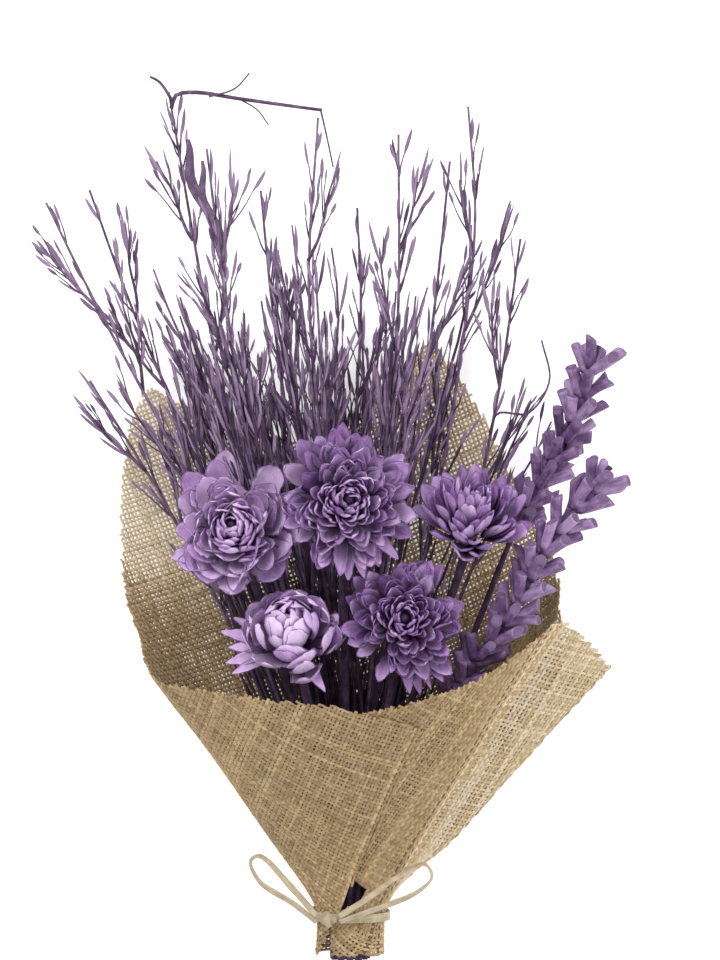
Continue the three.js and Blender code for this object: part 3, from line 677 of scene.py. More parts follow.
for seed, (name, base, facing, _, slot, via) in enumerate(FLOWERS):
    approach = np.array(base) - HEAD_APPROACH * unit(np.array(facing, float))
    piece = stick(name + "_stick", stem_route(slot, [via, approach, base]), FLOWER_STEM_RADIUS, 20 + seed)
    mount(piece, "stem", name + "_stem")
for seed, (name, slot, route, _, _) in enumerate(SPIKES):
    piece = stick(name + "_cane", stem_route(slot, route), SPIKE_STEM_RADIUS, 30 + seed)
    mount(piece, "stem", name + "_stem")


# ---------------------------------------------------------------------------------------------
# Broom twigs
# A dozen dried and dyed broom branches fan out behind the flowers. Each is a thin brown-violet stem
# with upright side shoots, and the shoots carry narrow pods, most of them paler than the wood.
# ---------------------------------------------------------------------------------------------
# Twigs: slot in the neck, points of the stem after it, and main shoots as (share along, side, length).
TWIGS = (
    ((2, 210), ((-44, 110, 12), (-96, 215, 16), (-141, 290, 26)), ((0.72, 1, 60), (0.84, -1, 40))),
    ((2, 180), ((-36.5, 110, 25), (-89, 240, 36), (-136, 330, 44), (-162, 384, 54)),
     ((0.62, -1, 60), (0.74, 1, 56), (0.86, -1, 42))),
    ((1, 180), ((-30, 110, 20), (-80, 240, 27), (-118, 330, 34), (-140, 392, 40)),
     ((0.62, 1, 60), (0.74, -1, 46), (0.84, 1, 40))),
    ((2, 240), ((-24, 110, 11), (-60, 240, 13), (-80, 340, 20), (-98, 446, 30)),
     ((0.56, -1, 70), (0.70, 1, 66), (0.84, -1, 48))),
    ((1, 120), ((-20, 110, 29), (-50, 230, 43), (-66, 330, 50), (-76, 412, 60)),
     ((0.62, 1, 60), (0.74, -1, 52), (0.86, 1, 44))),
    ((1, 240), ((-10, 110, 15), (-30, 240, 22), (-42, 330, 28), (-48, 392, 36)),
     ((0.62, -1, 56), (0.76, 1, 50))),
    ((0, 0), ((-4, 110, 21), (-14, 240, 32), (-22, 340, 39), (-17, 430, 48)),
     ((0.58, 1, 64), (0.72, -1, 52), (0.84, 1, 46))),
    ((2, 270), ((2, 110, 9), (2, 240, 9.5), (6, 330, 14), (4, 384, 20)),
     ((0.6, -1, 60), (0.74, 1, 56))),
    ((1, 60), ((10, 110, 31), (20, 235, 44), (26, 330, 50), (26, 420, 58)),
     ((0.6, 1, 62), (0.74, -1, 54), (0.86, 1, 40))),
    ((1, 300), ((13, 110, 15), (34, 240, 18), (46, 330, 24), (54, 408, 34)),
     ((0.62, -1, 60), (0.76, 1, 48))),
    ((2, 300), ((22, 110, 10), (50, 240, 11), (64, 330, 18), (68, 380, 24), (64, 438, 30)),
     ((0.6, -1, 58), (0.74, 1, 62), (0.84, -1, 40))),
    ((2, 330), ((30, 105, 14), (60, 190, 15), (80, 280, 24), (92, 366, 36)),
     ((0.66, 1, 48), (0.8, -1, 46))),
)
SHOOT_ANGLE = 0.36
# Twigs in the middle of the fan have more shoots from low on the stem, and more fine ones, than those aside.
MIDDLE_TWIGS = range(3, 9)
LOW_SHOOTS, LOW_SHOOTS_ASIDE = 15, 3
FINE_SHOOTS, FINE_SHOOTS_ASIDE = 22, 10
# Hidden shoots low on every stem, kept to the darkest tones: partly dark dyed stems, partly painted shade
# filling the gaps between the heads.
HIDDEN_SHOOTS = 9
TWIGLETS = 5
# Odd branches of single twigs: twig number and points, thickest first.
ODD_BRANCHES = (
    (3, ((-96.6, 437, 29.2), (-94, 444, 30.5), (-84, 445.5, 31), (-60, 442, 32), (-38, 439, 31),
         (-15, 436, 30)), 1.25),
    (3, ((-96, 441, 30), (-101, 449, 31), (-104, 452, 31), (-108, 454, 31)), 1.0),
    (3, ((-60, 442, 32), (-50, 436, 31), (-44, 428, 30)), 0.5),
    (3, ((-16, 437, 30), (-13, 424, 31), (-9, 405, 32)), 0.6),
    (3, ((-76, 443, 32), (-62, 447, 36), (-54, 455, 38)), 0.6),
    (11, ((76, 262, 23), (80, 272, 34), (96, 272, 42), (107, 289, 46), (103, 311, 44)), 0.7),
)
# Broad matted pods near the top of one twig: start and end points and width.
BROAD_PODS = (
    (3, (-74, 366, 24), (-90, 420, 30), 2.9),
    (3, (-70, 360, 26), (-82, 408, 34), 2.2),
)
twig_fibre = dyed_material("dyed_broom", (0.022, 0.009, 0.028), (0.085, 0.045, 0.10), (0.31, 0.21, 0.34),
                           (0.34, 0.235, 0.38), (0.22, 7.0, 1.0), 0.85, 0.0003)


def shoots_from(path, shares, sides, lengths, angles, rng):
    """Shoots leave a path to either side at an angle, then bend half back towards its direction."""
    index = np.clip((np.asarray(shares) * (len(path) - 1)).astype(int), 1, len(path) - 2)
    start = path[index]
    along = unit(path[index + 1] - path[index - 1])
    aside = unit(np.cross(along, np.array([0.0, 0.0, 1.0]))) * np.reshape(sides, (-1, 1))
    aside = unit(aside + np.array([0, 0, 1.0]) * rng.normal(0, 0.35, (len(index), 1)))
    angles = np.reshape(angles, (-1, 1))
    lean = along * np.cos(angles) + aside * np.sin(angles)
    share = np.linspace(0, 1, 9)[None, :, None]
    bend = unit(lean + along)[:, None]
    lengths = np.reshape(lengths, (-1, 1, 1))
    wave = rng.normal(0, 0.012, (len(index), 1, 3)) * np.sin(share * 7 + rng.random((len(index), 1, 1)) * 6)
    course = lean[:, None] * (share - share ** 2 / 2) + bend * share ** 2 / 2 + wave
    points = start[:, None] + lengths * course
    points[..., 2] = np.maximum(points[..., 2], 3.0)
    return points


def pods_on(paths, per_path, rng, shortest, longest):
    """Lance-shaped pods that leave each path near its outer part at a narrow angle, and one on its tip."""
    count = len(paths)
    shares = np.concatenate([np.full((count, 1), 0.985), rng.uniform(0.25, 0.97, (count, per_path - 1))], 1)
    index = np.clip((shares * (paths.shape[1] - 1)).astype(int), 1, paths.shape[1] - 1)
    row = np.arange(count)[:, None]
    start = paths[row, index].reshape(-1, 3)
    along = unit(paths[row, index] - paths[row, index - 1]).reshape(-1, 3)
    tip = (shares > 0.98).reshape(-1, 1)
    aside = unit(np.cross(along, rng.normal(0, 1, along.shape) * np.array([0.35, 0.35, 1.0])))
    angle = np.where(tip, 0.06, rng.uniform(0.05, 0.27, tip.shape))
    lean = along * np.cos(angle) + aside * np.sin(angle)
    length = rng.uniform(shortest, longest, tip.shape) * np.where(tip, 0.75, 1.0)
    share = np.linspace(0, 1, 7)[None, :, None]
    curve = aside[:, None] * (share * (1 - share)) * 0.10
    points = start[:, None] + length[:, None] * (lean[:, None] * share + curve)
    points[..., 2] = np.maximum(points[..., 2], 2.5)
    profile = np.array([0.30, 0.50, 0.95, 1.0, 0.95, 0.70, 0.12])
    width = rng.uniform(0.5, 1.1, (len(points), 1))
    return points, profile * width


def twig(number, slot, route, main_shoots):
    """Stem, main shoots, long shoots from low down, many fine shoots, and pods along most of them."""
    rng = np.random.default_rng(100 + number)
    stem = spline(stem_route(slot, route), 120)
    taper = np.linspace(1.35, 0.62, 120) * (1 + 0.07 * np.sin(np.arange(120) * 0.8))
    groups = [tubes(stem[None], taper[None], 8, tone=0.3 + 0.3 * rng.random())]
    shares, sides, lengths = (np.array(column, float) for column in zip(*main_shoots))
    major = shoots_from(stem, shares, sides, lengths, np.full(len(shares), SHOOT_ANGLE), rng)
    middle = number in MIDDLE_TWIGS
    many = LOW_SHOOTS if middle else LOW_SHOOTS_ASIDE
    low_sides = rng.choice([-1.0, 1.0], many) if number > 1 else np.ones(many)
    low = shoots_from(stem, rng.uniform(0.34, 0.54, many), low_sides, rng.uniform(90, 185, many),
                      rng.uniform(0.02, 0.17, many), rng)
    limit = stem[-1, 1] - rng.uniform(8, 110, (many, 1, 1))
    overshoot = np.maximum(low[:, -1:, 1:2] - limit, 0) / np.maximum(low[:, -1:, 1:2] - low[:, :1, 1:2], 1)
    low = low[:, :1] + (low - low[:, :1]) * (1 - overshoot)
    hidden = HIDDEN_SHOOTS
    under = shoots_from(stem, rng.uniform(0.12, 0.32, hidden), rng.choice([-1.0, 1.0], hidden),
                        rng.uniform(60, 120, hidden), rng.uniform(0.05, 0.28, hidden), rng)
    few = FINE_SHOOTS if middle else FINE_SHOOTS_ASIDE
    fine_shares = rng.uniform(0.40, 0.97, few)
    fine = shoots_from(stem, fine_shares, rng.choice([-1.0, 1.0], few),
                       rng.uniform(18, 48, few) * (1.25 - fine_shares), rng.uniform(0.16, 0.48, few), rng)
    branches = np.concatenate([major, low])
    twiglets = np.concatenate([
        shoots_from(branch, rng.uniform(0.25, 0.92, TWIGLETS), rng.choice([-1.0, 1.0], TWIGLETS),
                    rng.uniform(10, 26, TWIGLETS), rng.uniform(0.18, 0.5, TWIGLETS), rng)
        for branch in branches])
    steps = np.linspace(0, 1, 9)
    # The hidden shoots get only the deepest tones, partly as painted shade between the heads.
    for paths, thick, thin, corners, pale in ((major, 1.0, 0.5, 6, 0.6), (low, 1.1, 0.5, 6, 0.6),
                                              (fine, 0.62, 0.34, 5, 0.6), (twiglets, 0.52, 0.28, 5, 0.6),
                                              (under, 1.0, 0.6, 6, 0.1)):
        groups.append(tubes(paths, mix(thick, thin, steps)[None], corners,
                            tone=rng.uniform(0.0, pale, len(paths))))
    for branch_number, points, thickness in ODD_BRANCHES:
        if branch_number == number:
            taper = np.linspace(thickness, thickness * 0.75, 24)
            groups.append(tubes(spline(points, 24)[None], taper[None], 7, tone=0.4))
    for branch_number, start, end, width in BROAD_PODS:
        if branch_number == number:
            share = np.linspace(0, 1, 12)[:, None]
            path = mix(np.array(start), np.array(end), share) + np.array([2.5, 0, 2.0]) * np.sin(share * 8)
            swell = width * np.sin(np.linspace(0.25, 2.95, 12)) ** 0.6
            groups.append(tubes(path[None], swell[None], 8, flat=0.35, tone=0.35, kind=0.2))
    upper_stem = np.stack([stem[50:119:8][k:k + 2] for k in range(8)])
    for paths, per_path, shortest, longest in ((branches, 6, 13, 27), (fine, 1, 12, 24), (twiglets, 1, 9, 19),
                                               (upper_stem, 2, 11, 22)):
        points, width = pods_on(paths, per_path, rng, shortest, longest)
        groups.append(tubes(points, width, 6, flat=0.5, tone=rng.uniform(0.2, 0.95, len(points)),
                            kind=rng.uniform(0.0, 0.85, len(points))))
    return add_tubes(f"broom_twig_{number + 1:02d}", groups, twig_fibre)


for number, (slot, route, main_shoots) in enumerate(TWIGS):
    mount(twig(number, slot, route, main_shoots), "twig", f"twig_{number + 1:02d}")


# ---------------------------------------------------------------------------------------------
# Shaved-wood flowers
# Five heads of thin dyed wood shavings, glued in a spiral round the end of a stick. Broad shavings
# overlap like scales, narrow ones stand in a rosette; their edges took more dye than their faces.
# ---------------------------------------------------------------------------------------------
SHAVING_THICKNESS = 0.45
EYE_RADII = (1.6, 2.2, 2.6, 2.8, 2.8, 2.6, 2.2, 1.2)
GOLDEN_ANGLE = math.pi * (3 - math.sqrt(5))
# Rows of a head: CAD node ending, and the shares of the spiral it takes, from the outermost shaving.
HEAD_ROWS = (("outer_petals", 0.0, 0.42), ("middle_petals", 0.42, 0.72), ("inner_petals", 0.72, 0.92),
             ("heart", 0.92, 1.01))
# Heads: shavings, outer and inner width, curl, cupping, tip roundness, tip rise outside and inside, tone,
# where the outer ones root as a share of the radius, how much longer they are above and below, and how far
# the innermost tips close over the eye.
HEAD_SHAPES = {
    "flower_left": (88, 20.0, 11.0, 0.80, 0.17, 2.5, 7.0, 25.0, 0.93, 0.34, 0.14, 0.93),
    "flower_middle": (140, 12.5, 7.0, 0.72, 0.30, 1.7, 8.0, 25.0, 0.64, 0.50, 0.07, 0.93),
    "flower_right": (92, 11.5, 7.5, 0.36, 0.26, 2.0, 14.0, 36.0, 0.50, 0.34, 0.08, 0.95),
    "flower_lower_left": (50, 22.0, 15.0, 1.1, 0.18, 2.5, 10.0, 32.0, 0.93, 0.30, 0.0, 0.99),
    "flower_lower_middle": (136, 11.0, 6.5, 0.66, 0.28, 1.7, 9.0, 24.0, 0.48, 0.50, 0.05, 0.90),
}
# Long narrow shavings that stand out of one head: turns round it, reach, width.
STRAY_SHAVINGS = {"flower_lower_left": ((2.7, 2.95, 3.2, 3.45, 3.65, 5.2), 41.0, 8.0),
                  "flower_middle": ((4.75, 4.95, 5.2, 5.45), 43.0, 9.0),
                  "flower_lower_middle": ((4.8, 4.95, 5.1, 5.3, 3.3), 42.0, 8.5)}


def shavings(turn, base_radius, base_rise, tip_radius, tip_rise, width, curl, cup, roundness, twist, rng):
    """
    Thin curved blades in the frame of a head. Each middle line is an arc from its base to its tip in the
    half plane at its turn; the width swells from the base and rounds off as a superellipse; the blade is
    cupped across, rippled along its edges and turned a little about its own line. Gives an array of
    (blade, row, column, 3).
    """
    rows, columns = 12, 9
    count = len(turn)
    share = np.sin(np.linspace(0, np.pi / 2, rows))[None, :]
    run, rise = tip_radius - base_radius, tip_rise - base_rise
    chord, heading = np.hypot(run, rise)[:, None], np.arctan2(run, rise)[:, None]
    curl = curl[:, None]
    angle = heading + curl * (1 - 2 * share)
    length = chord * curl / np.sin(curl)
    step = np.diff(share, axis=1) * length
    middle = (angle[:, 1:] + angle[:, :-1]) / 2
    start = np.zeros((count, 1))
    radius = base_radius[:, None] + np.concatenate([start, np.cumsum(step * np.sin(middle), 1)], 1)
    height = base_rise[:, None] + np.concatenate([start, np.cumsum(step * np.cos(middle), 1)], 1)
    swell = 0.42 + 0.58 * smooth_step(share, 0.0, 0.55)
    tip = np.clip((share - 0.55) / 0.45, 0, 1)
    power = roundness[:, None]
    outline = swell * np.maximum((1 - tip ** power) ** (1 / power), 0.10)
    place = np.linspace(-1, 1, columns)[None, None, :]
    nick = 1 + 0.07 * rng.normal(0, 1, (count, rows, 1)) * (np.abs(place) > 0.9)
    aside = (width[:, None] * outline / 2)[:, :, None] * place * nick
    radial = np.stack([np.cos(turn), np.sin(turn), 0 * turn], -1)[:, None, None]
    tangent = np.stack([-np.sin(turn), np.cos(turn), 0 * turn], -1)[:, None, None]
    upward = np.array([0.0, 0.0, 1.0])
    inward = (-np.cos(angle)[..., None, None] * radial + np.sin(angle)[..., None, None] * upward)
    phase = rng.random((count, 1, 1)) * 6.3
    ripple = (0.05 * np.sin(7 * share[..., None] + phase + 1.5 * place) * np.abs(place) ** 2
              + 0.02 * np.sin(17 * share[..., None] + 2.0 * phase) * np.abs(place) ** 3)
    lift = width[:, None, None] * (cup[:, None, None] * place ** 2 * outline[..., None] + ripple)
    lean = twist[:, None, None] * share[..., None]
    sideways = aside * np.cos(lean)
    outward = lift + aside * np.sin(lean)
    centre = radius[..., None, None] * radial + height[..., None, None] * upward
    return centre + sideways[..., None] * tangent + outward[..., None] * inward


def add_shavings(name, blades, tone, groups, frame_of_head, material):
    """One object from a set of blades and a few tubes, moved from the head's frame to its place."""
    count, rows, columns, _ = blades.shape
    base = (np.arange(count) * rows * columns)[:, None, None]
    corner = base + (np.arange(rows - 1) * columns)[None, :, None] + np.arange(columns - 1)[None, None, :]
    quads = np.stack([corner, corner + columns, corner + columns + 1, corner + 1], -1).reshape(-1, 4)
    along, across = np.meshgrid(np.linspace(0, 1, rows), np.linspace(0, 1, columns), indexing="ij")
    surface = np.stack([across, along], -1).reshape(-1, 2)
    uv = surface[quads % (rows * columns)].reshape(-1, 2)
    points, faces, triangles = [blades.reshape(-1, 3)], quads.tolist(), []
    tones, kinds, triangle_uv = [np.repeat(tone, rows * columns)], [np.zeros(count * rows * columns)], []
    for group in groups:
        shift = sum(len(part) for part in points)
        points.append(group["points"])
        faces += (group["quads"] + shift).tolist()
        uv = np.concatenate([uv, group["quad_uv"] * np.array([0.1, 1.0])])
        triangles += (group["triangles"] + shift).tolist()
        triangle_uv.append(group["triangle_uv"])
        tones.append(group["tone"])
        kinds.append(group["kind"])
    origin, axes = frame_of_head
    placed = np.concatenate(points) @ axes + origin
    piece = add_mesh(name, placed, faces + triangles, material, np.concatenate([uv, *triangle_uv]),
                     {"tone": np.concatenate(tones), "kind": np.concatenate(kinds)})
    solid = piece.modifiers.new("thickness", "SOLIDIFY")
    solid.thickness = SHAVING_THICKNESS * MM
    solid.offset = 0.0
    return piece


def shaving_material():
    """
    Dyed wood shaving: a pale lilac face with fine lengthwise grain, darkened to deep violet towards the
    base as painted shade, and a dark line along the rim where the dye soaked into the cut edge.
    """
    material, tree, shader = new_material("dyed_shaving", 0.72)
    tone, kind = read_attributes(tree, "tone", "kind")
    uv = add_node(tree, "ShaderNodeUVMap", uv_map="surface")
    parts = add_node(tree, "ShaderNodeSeparateXYZ", [("Vector", uv.outputs["UV"])])
    place = add_node(tree, "ShaderNodeTexCoord").outputs["Object"]
    apart = add_node(tree, "ShaderNodeVectorMath", [(0, place), (1, (60.0, 60.0, 60.0))],
                     operation="MULTIPLY")
    stretch = add_node(tree, "ShaderNodeMapping", [("Vector", uv.outputs["UV"]), ("Scale", (22.0, 1.6, 1.0))])
    offset = add_node(tree, "ShaderNodeVectorMath", [
        (0, stretch.outputs["Vector"]), (1, apart.outputs["Vector"])], operation="ADD")
    grain = add_noise(tree, offset.outputs["Vector"], 1.0, 4.0, 0.6)
    blotches = add_noise(tree, place, 150.0, 4.0, 0.6)
    level = calculate(tree, "MULTIPLY_ADD", calculate(tree, "ADD", grain, blotches), 0.85, -0.55)
    face = add_ramp(tree, calculate(tree, "MULTIPLY_ADD", tone, 0.65, level), (
        (0.0, (0.13, 0.05, 0.20)), (0.3, (0.30, 0.15, 0.42)), (0.6, (0.56, 0.35, 0.67)),
        (1.0, (0.82, 0.62, 0.90))))
    # Painted shade: each shaving darkens to deep violet towards its base, down inside the head.
    base_shaded = mix_colours(tree, add_ramp(tree, parts.outputs["Y"], (
        (0.08, (1.0, 1.0, 1.0)), (0.56, (0.0, 0.0, 0.0)))), face, (0.042, 0.013, 0.066))
    aside = calculate(tree, "ABSOLUTE", calculate(tree, "MULTIPLY_ADD", parts.outputs["X"], 2.0, -1.0))
    farthest = calculate(tree, "MAXIMUM", aside, parts.outputs["Y"])
    wobble = calculate(tree, "MULTIPLY_ADD", grain, 0.10, farthest)
    rim = add_ramp(tree, wobble, ((0.95, (0.0, 0.0, 0.0)), (1.0, (0.8, 0.8, 0.8))))
    edged = mix_colours(tree, rim, base_shaded, (0.115, 0.05, 0.175))
    dark = mix_colours(tree, kind, edged, (0.055, 0.022, 0.07))
    tree.links.new(dark, shader.inputs["Base Color"])
    add_bump(tree, shader, grain, 0.45, 0.0003)
    return material


shaving = shaving_material()


def flower_head(seed, name, base, facing, radius):
    """The spiral of shavings from the outside in, split into its rows, with a dark eye in the heart."""
    rng = np.random.default_rng(200 + seed)
    (count, wide, narrow, curl, cup, roundness, rise_outside, rise_inside, tone_level, root,
     stretch, closing) = HEAD_SHAPES[name]
    axis = unit(np.array(facing, float))
    x_axis = unit(np.array([1.0, 0, 0]) - axis * axis[0])
    axes = np.stack([x_axis, np.cross(axis, x_axis), axis])
    index = np.arange(count)
    share = index / (count - 1)
    turn = index * GOLDEN_ANGLE + rng.normal(0, 0.28, count)
    tip_radius = radius * (1 - closing * share ** 1.05) * (1 + rng.normal(0, 0.06, count))
    tip_radius *= 1 + stretch * np.sin(turn) ** 2
    tip_rise = mix(rise_outside, rise_inside, np.sin(share * np.pi / 2)) + rng.normal(0, 1.5, count)
    base_radius = mix(root * radius, 1.0, share)
    base_rise = mix(1.0, 11.0, share) + rng.normal(0, 0.3, count)
    width = mix(wide, narrow, share) * rng.uniform(0.68, 1.2, count)
    bend = np.clip(curl * rng.uniform(0.75, 1.25, count), 0.1, 1.2)
    tone = np.clip(tone_level + rng.normal(0, 0.21, count), 0, 1)
    blades = shavings(turn, base_radius, base_rise, tip_radius, tip_rise, width, bend,
                      cup * rng.uniform(0.6, 1.4, count), roundness * rng.uniform(0.85, 1.2, count),
                      rng.normal(0, 0.40, count), rng)
    turns, reach, slim = STRAY_SHAVINGS.get(name, ((), 0.0, 0.0))
    if turns:
        stray = np.ones(len(turns))
        extra = shavings(np.array(turns), 6 * stray, 0.5 * stray, reach * rng.uniform(0.85, 1.0, len(turns)),
                         rng.uniform(0.0, 5.0, len(turns)), slim * stray, 0.2 * stray, 0.2 * stray,
                         1.5 * stray, rng.normal(0, 0.4, len(turns)), rng)
        blades = np.concatenate([blades, extra])
        share = np.concatenate([share, 0 * stray])
        tone = np.concatenate([tone, tone_level - 0.2 * stray])
    for row, start, stop in HEAD_ROWS:
        chosen = (share >= start) & (share < stop)
        groups = []
        if row == "heart":
            eye = np.linspace(8.0, rise_inside - 4.0, 8)[:, None] * np.array([0.0, 0.0, 1.0])
            groups = [tubes(eye[None], np.array([EYE_RADII]), 12, tone=0.2, kind=0.85)]
        piece = add_shavings(f"{name}_{row}_shavings", blades[chosen], tone[chosen], groups,
                             (np.array(base, float), axes), shaving)
        light_row = row in ("middle_petals", "inner_petals")
        mount(piece, "petal_light" if light_row else "petal_dark", f"{name}_{row}")


for seed, (name, base, facing, radius, _, _) in enumerate(FLOWERS):
    flower_head(seed, name, base, facing, radius)


# ---------------------------------------------------------------------------------------------
# Reed spikes
# Two canes set all round with short lengths of dyed reed, in whorls that splay outwards. The reeds
# are cut slantwise at both ends, and the cut faces are sunk.
# ---------------------------------------------------------------------------------------------
REED_RADIUS = 2.9
REED_LENGTH = 17.1
REED_SPLAY = 0.70
REEDS_PER_WHORL = 6
REED_SIDES = 14
CANE_STEPS = 800
CORE_RADIUS = 2.4
TIERS = ("lower_reeds", "middle_reeds", "upper_reeds")


def reeds(start, direction, length, radius, rng):
    """
    Short round lengths: rings along a straight line, the end rings slanted and the last ones drawn in
    and sunk to make the cut face. The cross-section is a circle with a few low waves.
    """
    count, sides = len(start), REED_SIDES
    share = np.array([0, 0, 0, 0, 0.18, 0.36, 0.55, 0.74, 0.90, 1.0, 1.0, 1.0, 1.0])
    size = np.array([0.35, 0.80, 0.90, 1.0, 1.02, 0.97, 0.96, 0.98, 1.02, 1.0, 0.90, 0.80, 0.35])
    sunk = np.array([0.9, 0.55, 0, 0, 0, 0, 0, 0, 0, 0, 0, -0.55, -0.9])
    slant = np.concatenate([np.full((count, 4), 1.0), np.full((count, 1), 0.5), np.zeros((count, 3)),
                            np.full((count, 1), 0.5), np.full((count, 4), 1.0)], 1)
    guide = unit(np.cross(direction, unit(rng.normal(0, 1, (count, 3)))))
    other = np.cross(direction, guide)
    turn = 2 * np.pi * np.arange(sides) / sides
    phase = rng.random((count, 1)) * 6.3
    waves = 1 + 0.07 * np.cos(2 * turn + phase) + 0.05 * np.cos(3 * turn + 2 * phase)
    waves += 0.025 * np.cos(7 * turn + 3 * phase)
    reach = radius[:, None, None] * size[None, :, None] * waves[:, None, :]
    tilt = rng.uniform(-0.9, 0.9, (count, 2))
    low_tilt = tilt[:, :1, None] * np.cos(turn - phase)[:, None, :]
    high_tilt = tilt[:, 1:, None] * np.cos(turn + phase)[:, None, :]
    half = (share < 0.5)[None, :, None]
    shift = reach * slant[:, :, None] * np.where(half, low_tilt, high_tilt)
    bow = rng.normal(0, 0.5, (count, 1, 1)) * np.sin(np.pi * share)[None, :, None]
    advance = share[None, :, None] * length[:, None, None] + sunk[None, :, None] + shift
    rings = (start[:, None, None] + direction[:, None, None] * advance[..., None]
             + guide[:, None, None] * (reach * np.cos(turn) + bow)[..., None]
             + other[:, None, None] * (reach * np.sin(turn))[..., None])
    poles = np.stack([rings[:, 0].mean(1), rings[:, -1].mean(1)], 1)
    travelled = np.broadcast_to((share * REED_LENGTH)[None], (count, len(share)))
    cut = np.concatenate([[1, 1, 0.75], np.zeros(7), [0.75, 1, 1]])
    kind = np.concatenate([np.repeat(cut, sides), [1, 1]])
    tone = np.clip(rng.normal(0.5, 0.18, count), 0, 1)
    return closed_rods(rings, poles, travelled, tone[:, None], kind[None])


reed_fibre = dyed_material("dyed_reed", (0.030, 0.010, 0.042), (0.16, 0.082, 0.21), (0.46, 0.31, 0.54),
                           (0.17, 0.10, 0.21), (0.10, 10.0, 1.0), 0.62, 0.0004)

for seed, (name, slot, route, whorls, reeds_from) in enumerate(SPIKES):
    rng = np.random.default_rng(300 + seed)
    cane = spline(stem_route(slot, route), CANE_STEPS)
    for tier, title in enumerate(TIERS):
        first, beyond = round(tier * whorls / 3), round((tier + 1) * whorls / 3)
        whorl = np.repeat(np.arange(first, beyond), REEDS_PER_WHORL)
        position = np.tile(np.arange(REEDS_PER_WHORL), beyond - first)
        share = reeds_from + (whorl + rng.normal(0, 0.10, len(whorl))) * (1 - reeds_from) / whorls
        index = np.clip((share * (CANE_STEPS - 1)).astype(int), 1, CANE_STEPS - 2)
        along = unit(cane[index + 1] - cane[index - 1])
        side = unit(np.cross(np.array([0.0, 0.0, 1.0]), along))
        up = np.cross(along, -side)
        turn = (position + 0.5 * (whorl % 2)) * 2 * np.pi / REEDS_PER_WHORL + 0.4
        turn = (turn + rng.normal(0, 0.12, len(whorl)))[:, None]
        outward = side * np.cos(turn) + up * np.sin(turn)
        splay = (REED_SPLAY + rng.normal(0, 0.10, len(whorl)))[:, None]
        direction = along * np.cos(splay) + outward * np.sin(splay)
        length = REED_LENGTH * rng.uniform(0.86, 1.10, len(whorl))
        radius = REED_RADIUS * rng.uniform(0.86, 1.12, len(whorl))
        start = cane[index] + outward * REED_RADIUS * 0.6
        core = cane[index.min() - 6:index.max() + 8:12][None]
        groups = [reeds(start, direction, length, radius, rng), tubes(core, CORE_RADIUS, 8, tone=0.2)]
        mount(add_tubes(f"{name}_{title}_cut", groups, reed_fibre), "reed", f"{name}_{title}")


# ---------------------------------------------------------------------------------------------
# Raffia tie
# A flat natural ribbon wound twice round the neck of the wrap and tied in a bow with two loops.
# ---------------------------------------------------------------------------------------------
RIBBON_WIDTH = 3.3
RIBBON_THICKNESS = 0.9
RIBBON_CORNERS = 10
LOOP_STEPS = 120
# Turns of the band: height over the tie and lean. Turns of the knot: lean, half sizes and tone.
BAND_TURNS = ((-1.1, 0.5), (1.1, -0.6))
KNOT_TURNS = ((0.25, (2.6, 3.9, 2.6), 0.6), (-0.5, (4.3, 3.2, 2.4), 0.4), (1.2, (4.6, 3.0, 2.2), 0.75))
KNOT_CORE_RADII = (1.2, 2.2, 2.6, 2.8, 2.8, 2.8, 2.6, 2.2, 1.2)
LEFT_LOOP = ((-5.9, 1.6, 0), (-19, 16, -3), (-37, 33, -9), (-42, 30, -11), (-37, 19, -10), (-19, 8, -5),
             (-6.2, -1.4, -0.5))
RIGHT_LOOP = ((6.0, 1.8, 1.4), (20, 11, 4.5), (36, 22, 0), (52, 29, -5), (56, 22, -7), (48, 14, -5),
              (20, 4, 3.2), (6.2, -1.2, 1.2))


def strip(path, wide, half_width, half_thickness, closed, tone):
    """
    Flat ribbon: a rounded rectangle of a few corners swept along the path, its width along the given
    direction made square to the path; the ends are closed in poles, or joined when the path is closed.
    """
    path = np.asarray(path, float)
    steps, corners = len(path), RIBBON_CORNERS
    if closed:
        tangent = unit(np.roll(path, -1, 0) - np.roll(path, 1, 0))
    else:
        tangent = unit(np.gradient(path, axis=0))
    across = unit(np.cross(tangent, wide))
    broad = np.cross(across, tangent)
    turn = 2 * np.pi * (np.arange(corners) + 0.5) / corners
    u = np.sign(np.cos(turn)) * np.abs(np.cos(turn)) ** 0.6
    v = np.sign(np.sin(turn)) * np.abs(np.sin(turn)) ** 0.8
    half_width = np.broadcast_to(half_width, steps)[:, None, None]
    sideways = broad[:, None] * half_width * u[:, None]
    rings = path[:, None] + sideways + across[:, None] * half_thickness * v[:, None]
    side = np.arange(corners)[None, :]
    after = (side + 1) % corners
    ring = np.arange(steps if closed else steps - 1)[:, None]
    here, following = ring * corners, (ring + 1) % steps * corners
    quads = np.stack([here + side, following + side, following + after, here + after], -1)
    travelled = np.concatenate([[0], np.cumsum(np.linalg.norm(np.diff(path, axis=0), axis=1))])
    travelled = np.append(travelled, travelled[-1] + np.linalg.norm(path[0] - path[-1]))
    near, far = travelled[ring] + 0.0 * side, travelled[ring + 1] + 0.0 * side
    around = np.broadcast_to(side, near.shape) / corners
    onward = around + 1 / corners
    quad_uv = np.stack([np.stack([near, around], -1), np.stack([far, around], -1),
                        np.stack([far, onward], -1), np.stack([near, onward], -1)], 2)
    points = rings.reshape(-1, 3)
    triangles = np.zeros((0, 3), int)
    if not closed:
        pole, last = steps * corners, (steps - 1) * corners
        points = np.concatenate([points, path[:1], path[-1:]])
        triangles = np.concatenate([
            np.stack([pole + 0 * side[0], side[0], after[0]], -1),
            np.stack([pole + 1 + 0 * side[0], last + after[0], last + side[0]], -1)])
    return {
        "points": points, "quads": quads.reshape(-1, 4), "triangles": triangles,
        "quad_uv": quad_uv.reshape(-1, 2), "triangle_uv": np.zeros((triangles.size, 2)),
        "tone": np.full(len(points), tone), "kind": np.zeros(len(points)),
    }


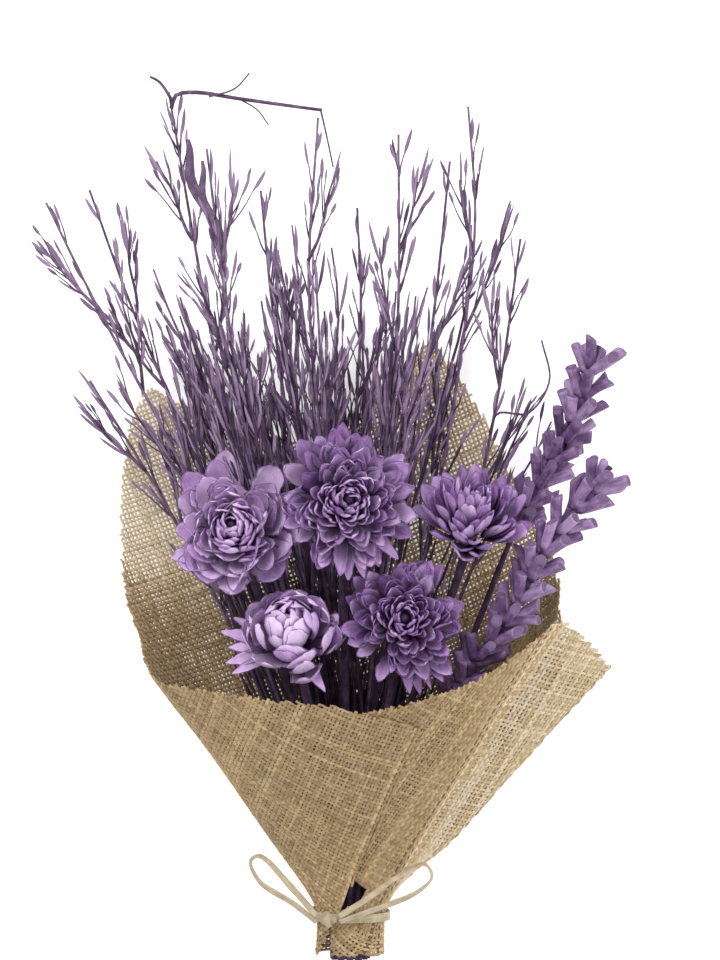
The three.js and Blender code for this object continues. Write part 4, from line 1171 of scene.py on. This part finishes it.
raffia_fibre = dyed_material("raffia", (0.18, 0.14, 0.08), (0.38, 0.30, 0.19), (0.60, 0.51, 0.37),
                             (0.3, 0.22, 0.12), (0.05, 16.0, 1.0), 0.6, 0.0002)
knot_low, knot_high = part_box("raffia_knot")
knot = np.array([(knot_low[axis] + knot_high[axis]) / 2 / MM for axis in range(3)]) - np.array([0, TIE_Y, 0])
band_middle = (band_low[2] + band_high[2]) / 2 / MM
band_half_width = (band_high[0] - band_low[0]) / 2 / MM - RIBBON_THICKNESS / 2
band_half_depth = (band_high[2] - band_low[2]) / 2 / MM - RIBBON_THICKNESS / 2
turn = np.linspace(0, 2 * np.pi, 96, endpoint=False)
band_groups = []
for number, (rise, lean) in enumerate(BAND_TURNS):
    hoop = np.stack([band_half_width * np.cos(turn), rise + lean * np.sin(turn + number),
                     band_middle + band_half_depth * np.sin(turn)], -1)
    band_groups.append(strip(hoop, np.array([0.0, 1.0, 0.0]), RIBBON_WIDTH / 2 + 0.06 * np.sin(turn * 9),
                             RIBBON_THICKNESS / 2, True, 0.45 + 0.2 * number))
mount(add_tubes("raffia_band_turns", band_groups, raffia_fibre), "raffia", "raffia_band")

wrap_turn = np.linspace(0, 2 * np.pi, 40, endpoint=False)
knot_groups = []
for lean, size, tone in KNOT_TURNS:
    loop = np.stack([size[0] * 0.35 * np.cos(wrap_turn + 1.5) + size[0] * 0.3 * lean * np.sin(wrap_turn),
                     size[1] * np.cos(wrap_turn), size[2] * np.sin(wrap_turn)], -1)
    spin = np.array([[math.cos(lean), math.sin(lean), 0], [-math.sin(lean), math.cos(lean), 0], [0, 0, 1.0]])
    knot_groups.append(strip(knot + loop @ spin, np.array([1.0, 0, 0]) @ spin, RIBBON_WIDTH / 2 * 0.9,
                             RIBBON_THICKNESS / 2, True, tone))
core = knot + np.linspace(-4.6, 4.6, 9)[:, None] * np.array([1.0, 0.0, 0.35])
knot_groups.append(tubes(core[None], np.array([KNOT_CORE_RADII]), 12, flat=0.75, tone=0.35))
mount(add_tubes("raffia_bow_knot", knot_groups, raffia_fibre), "raffia", "raffia_knot")

for name, steps, tilt in (("raffia_loop_left", LEFT_LOOP, 0.45), ("raffia_loop_right", RIGHT_LOOP, -0.5)):
    path = spline(knot + np.array(steps, float), LOOP_STEPS)
    travelled = np.linspace(0, 1, LOOP_STEPS)[:, None]
    level = unit(np.cross(np.array([0.0, 0.0, 1.0]), np.gradient(path, axis=0)))
    roll = tilt * (1 + 1.3 * np.exp(-((travelled - 0.5) / 0.13) ** 2))
    wide = level * np.cos(roll) + np.array([0.0, 0.0, 1.0]) * np.sin(roll)
    folds = 0.07 * np.sin(11 * travelled[:, 0]) + 0.04 * np.sin(37 * travelled[:, 0])
    ribbon = strip(path, wide, RIBBON_WIDTH / 2 * (1 + folds), RIBBON_THICKNESS / 2, False, 0.6)
    loop = add_tubes(name + "_ribbon", [ribbon], raffia_fibre)
    mount(loop, "raffia", name)
    placed = (path + np.array([0.0, TIE_Y, 0.0])) * MM
    length = float(np.linalg.norm(np.diff(placed, axis=0), axis=1).sum())
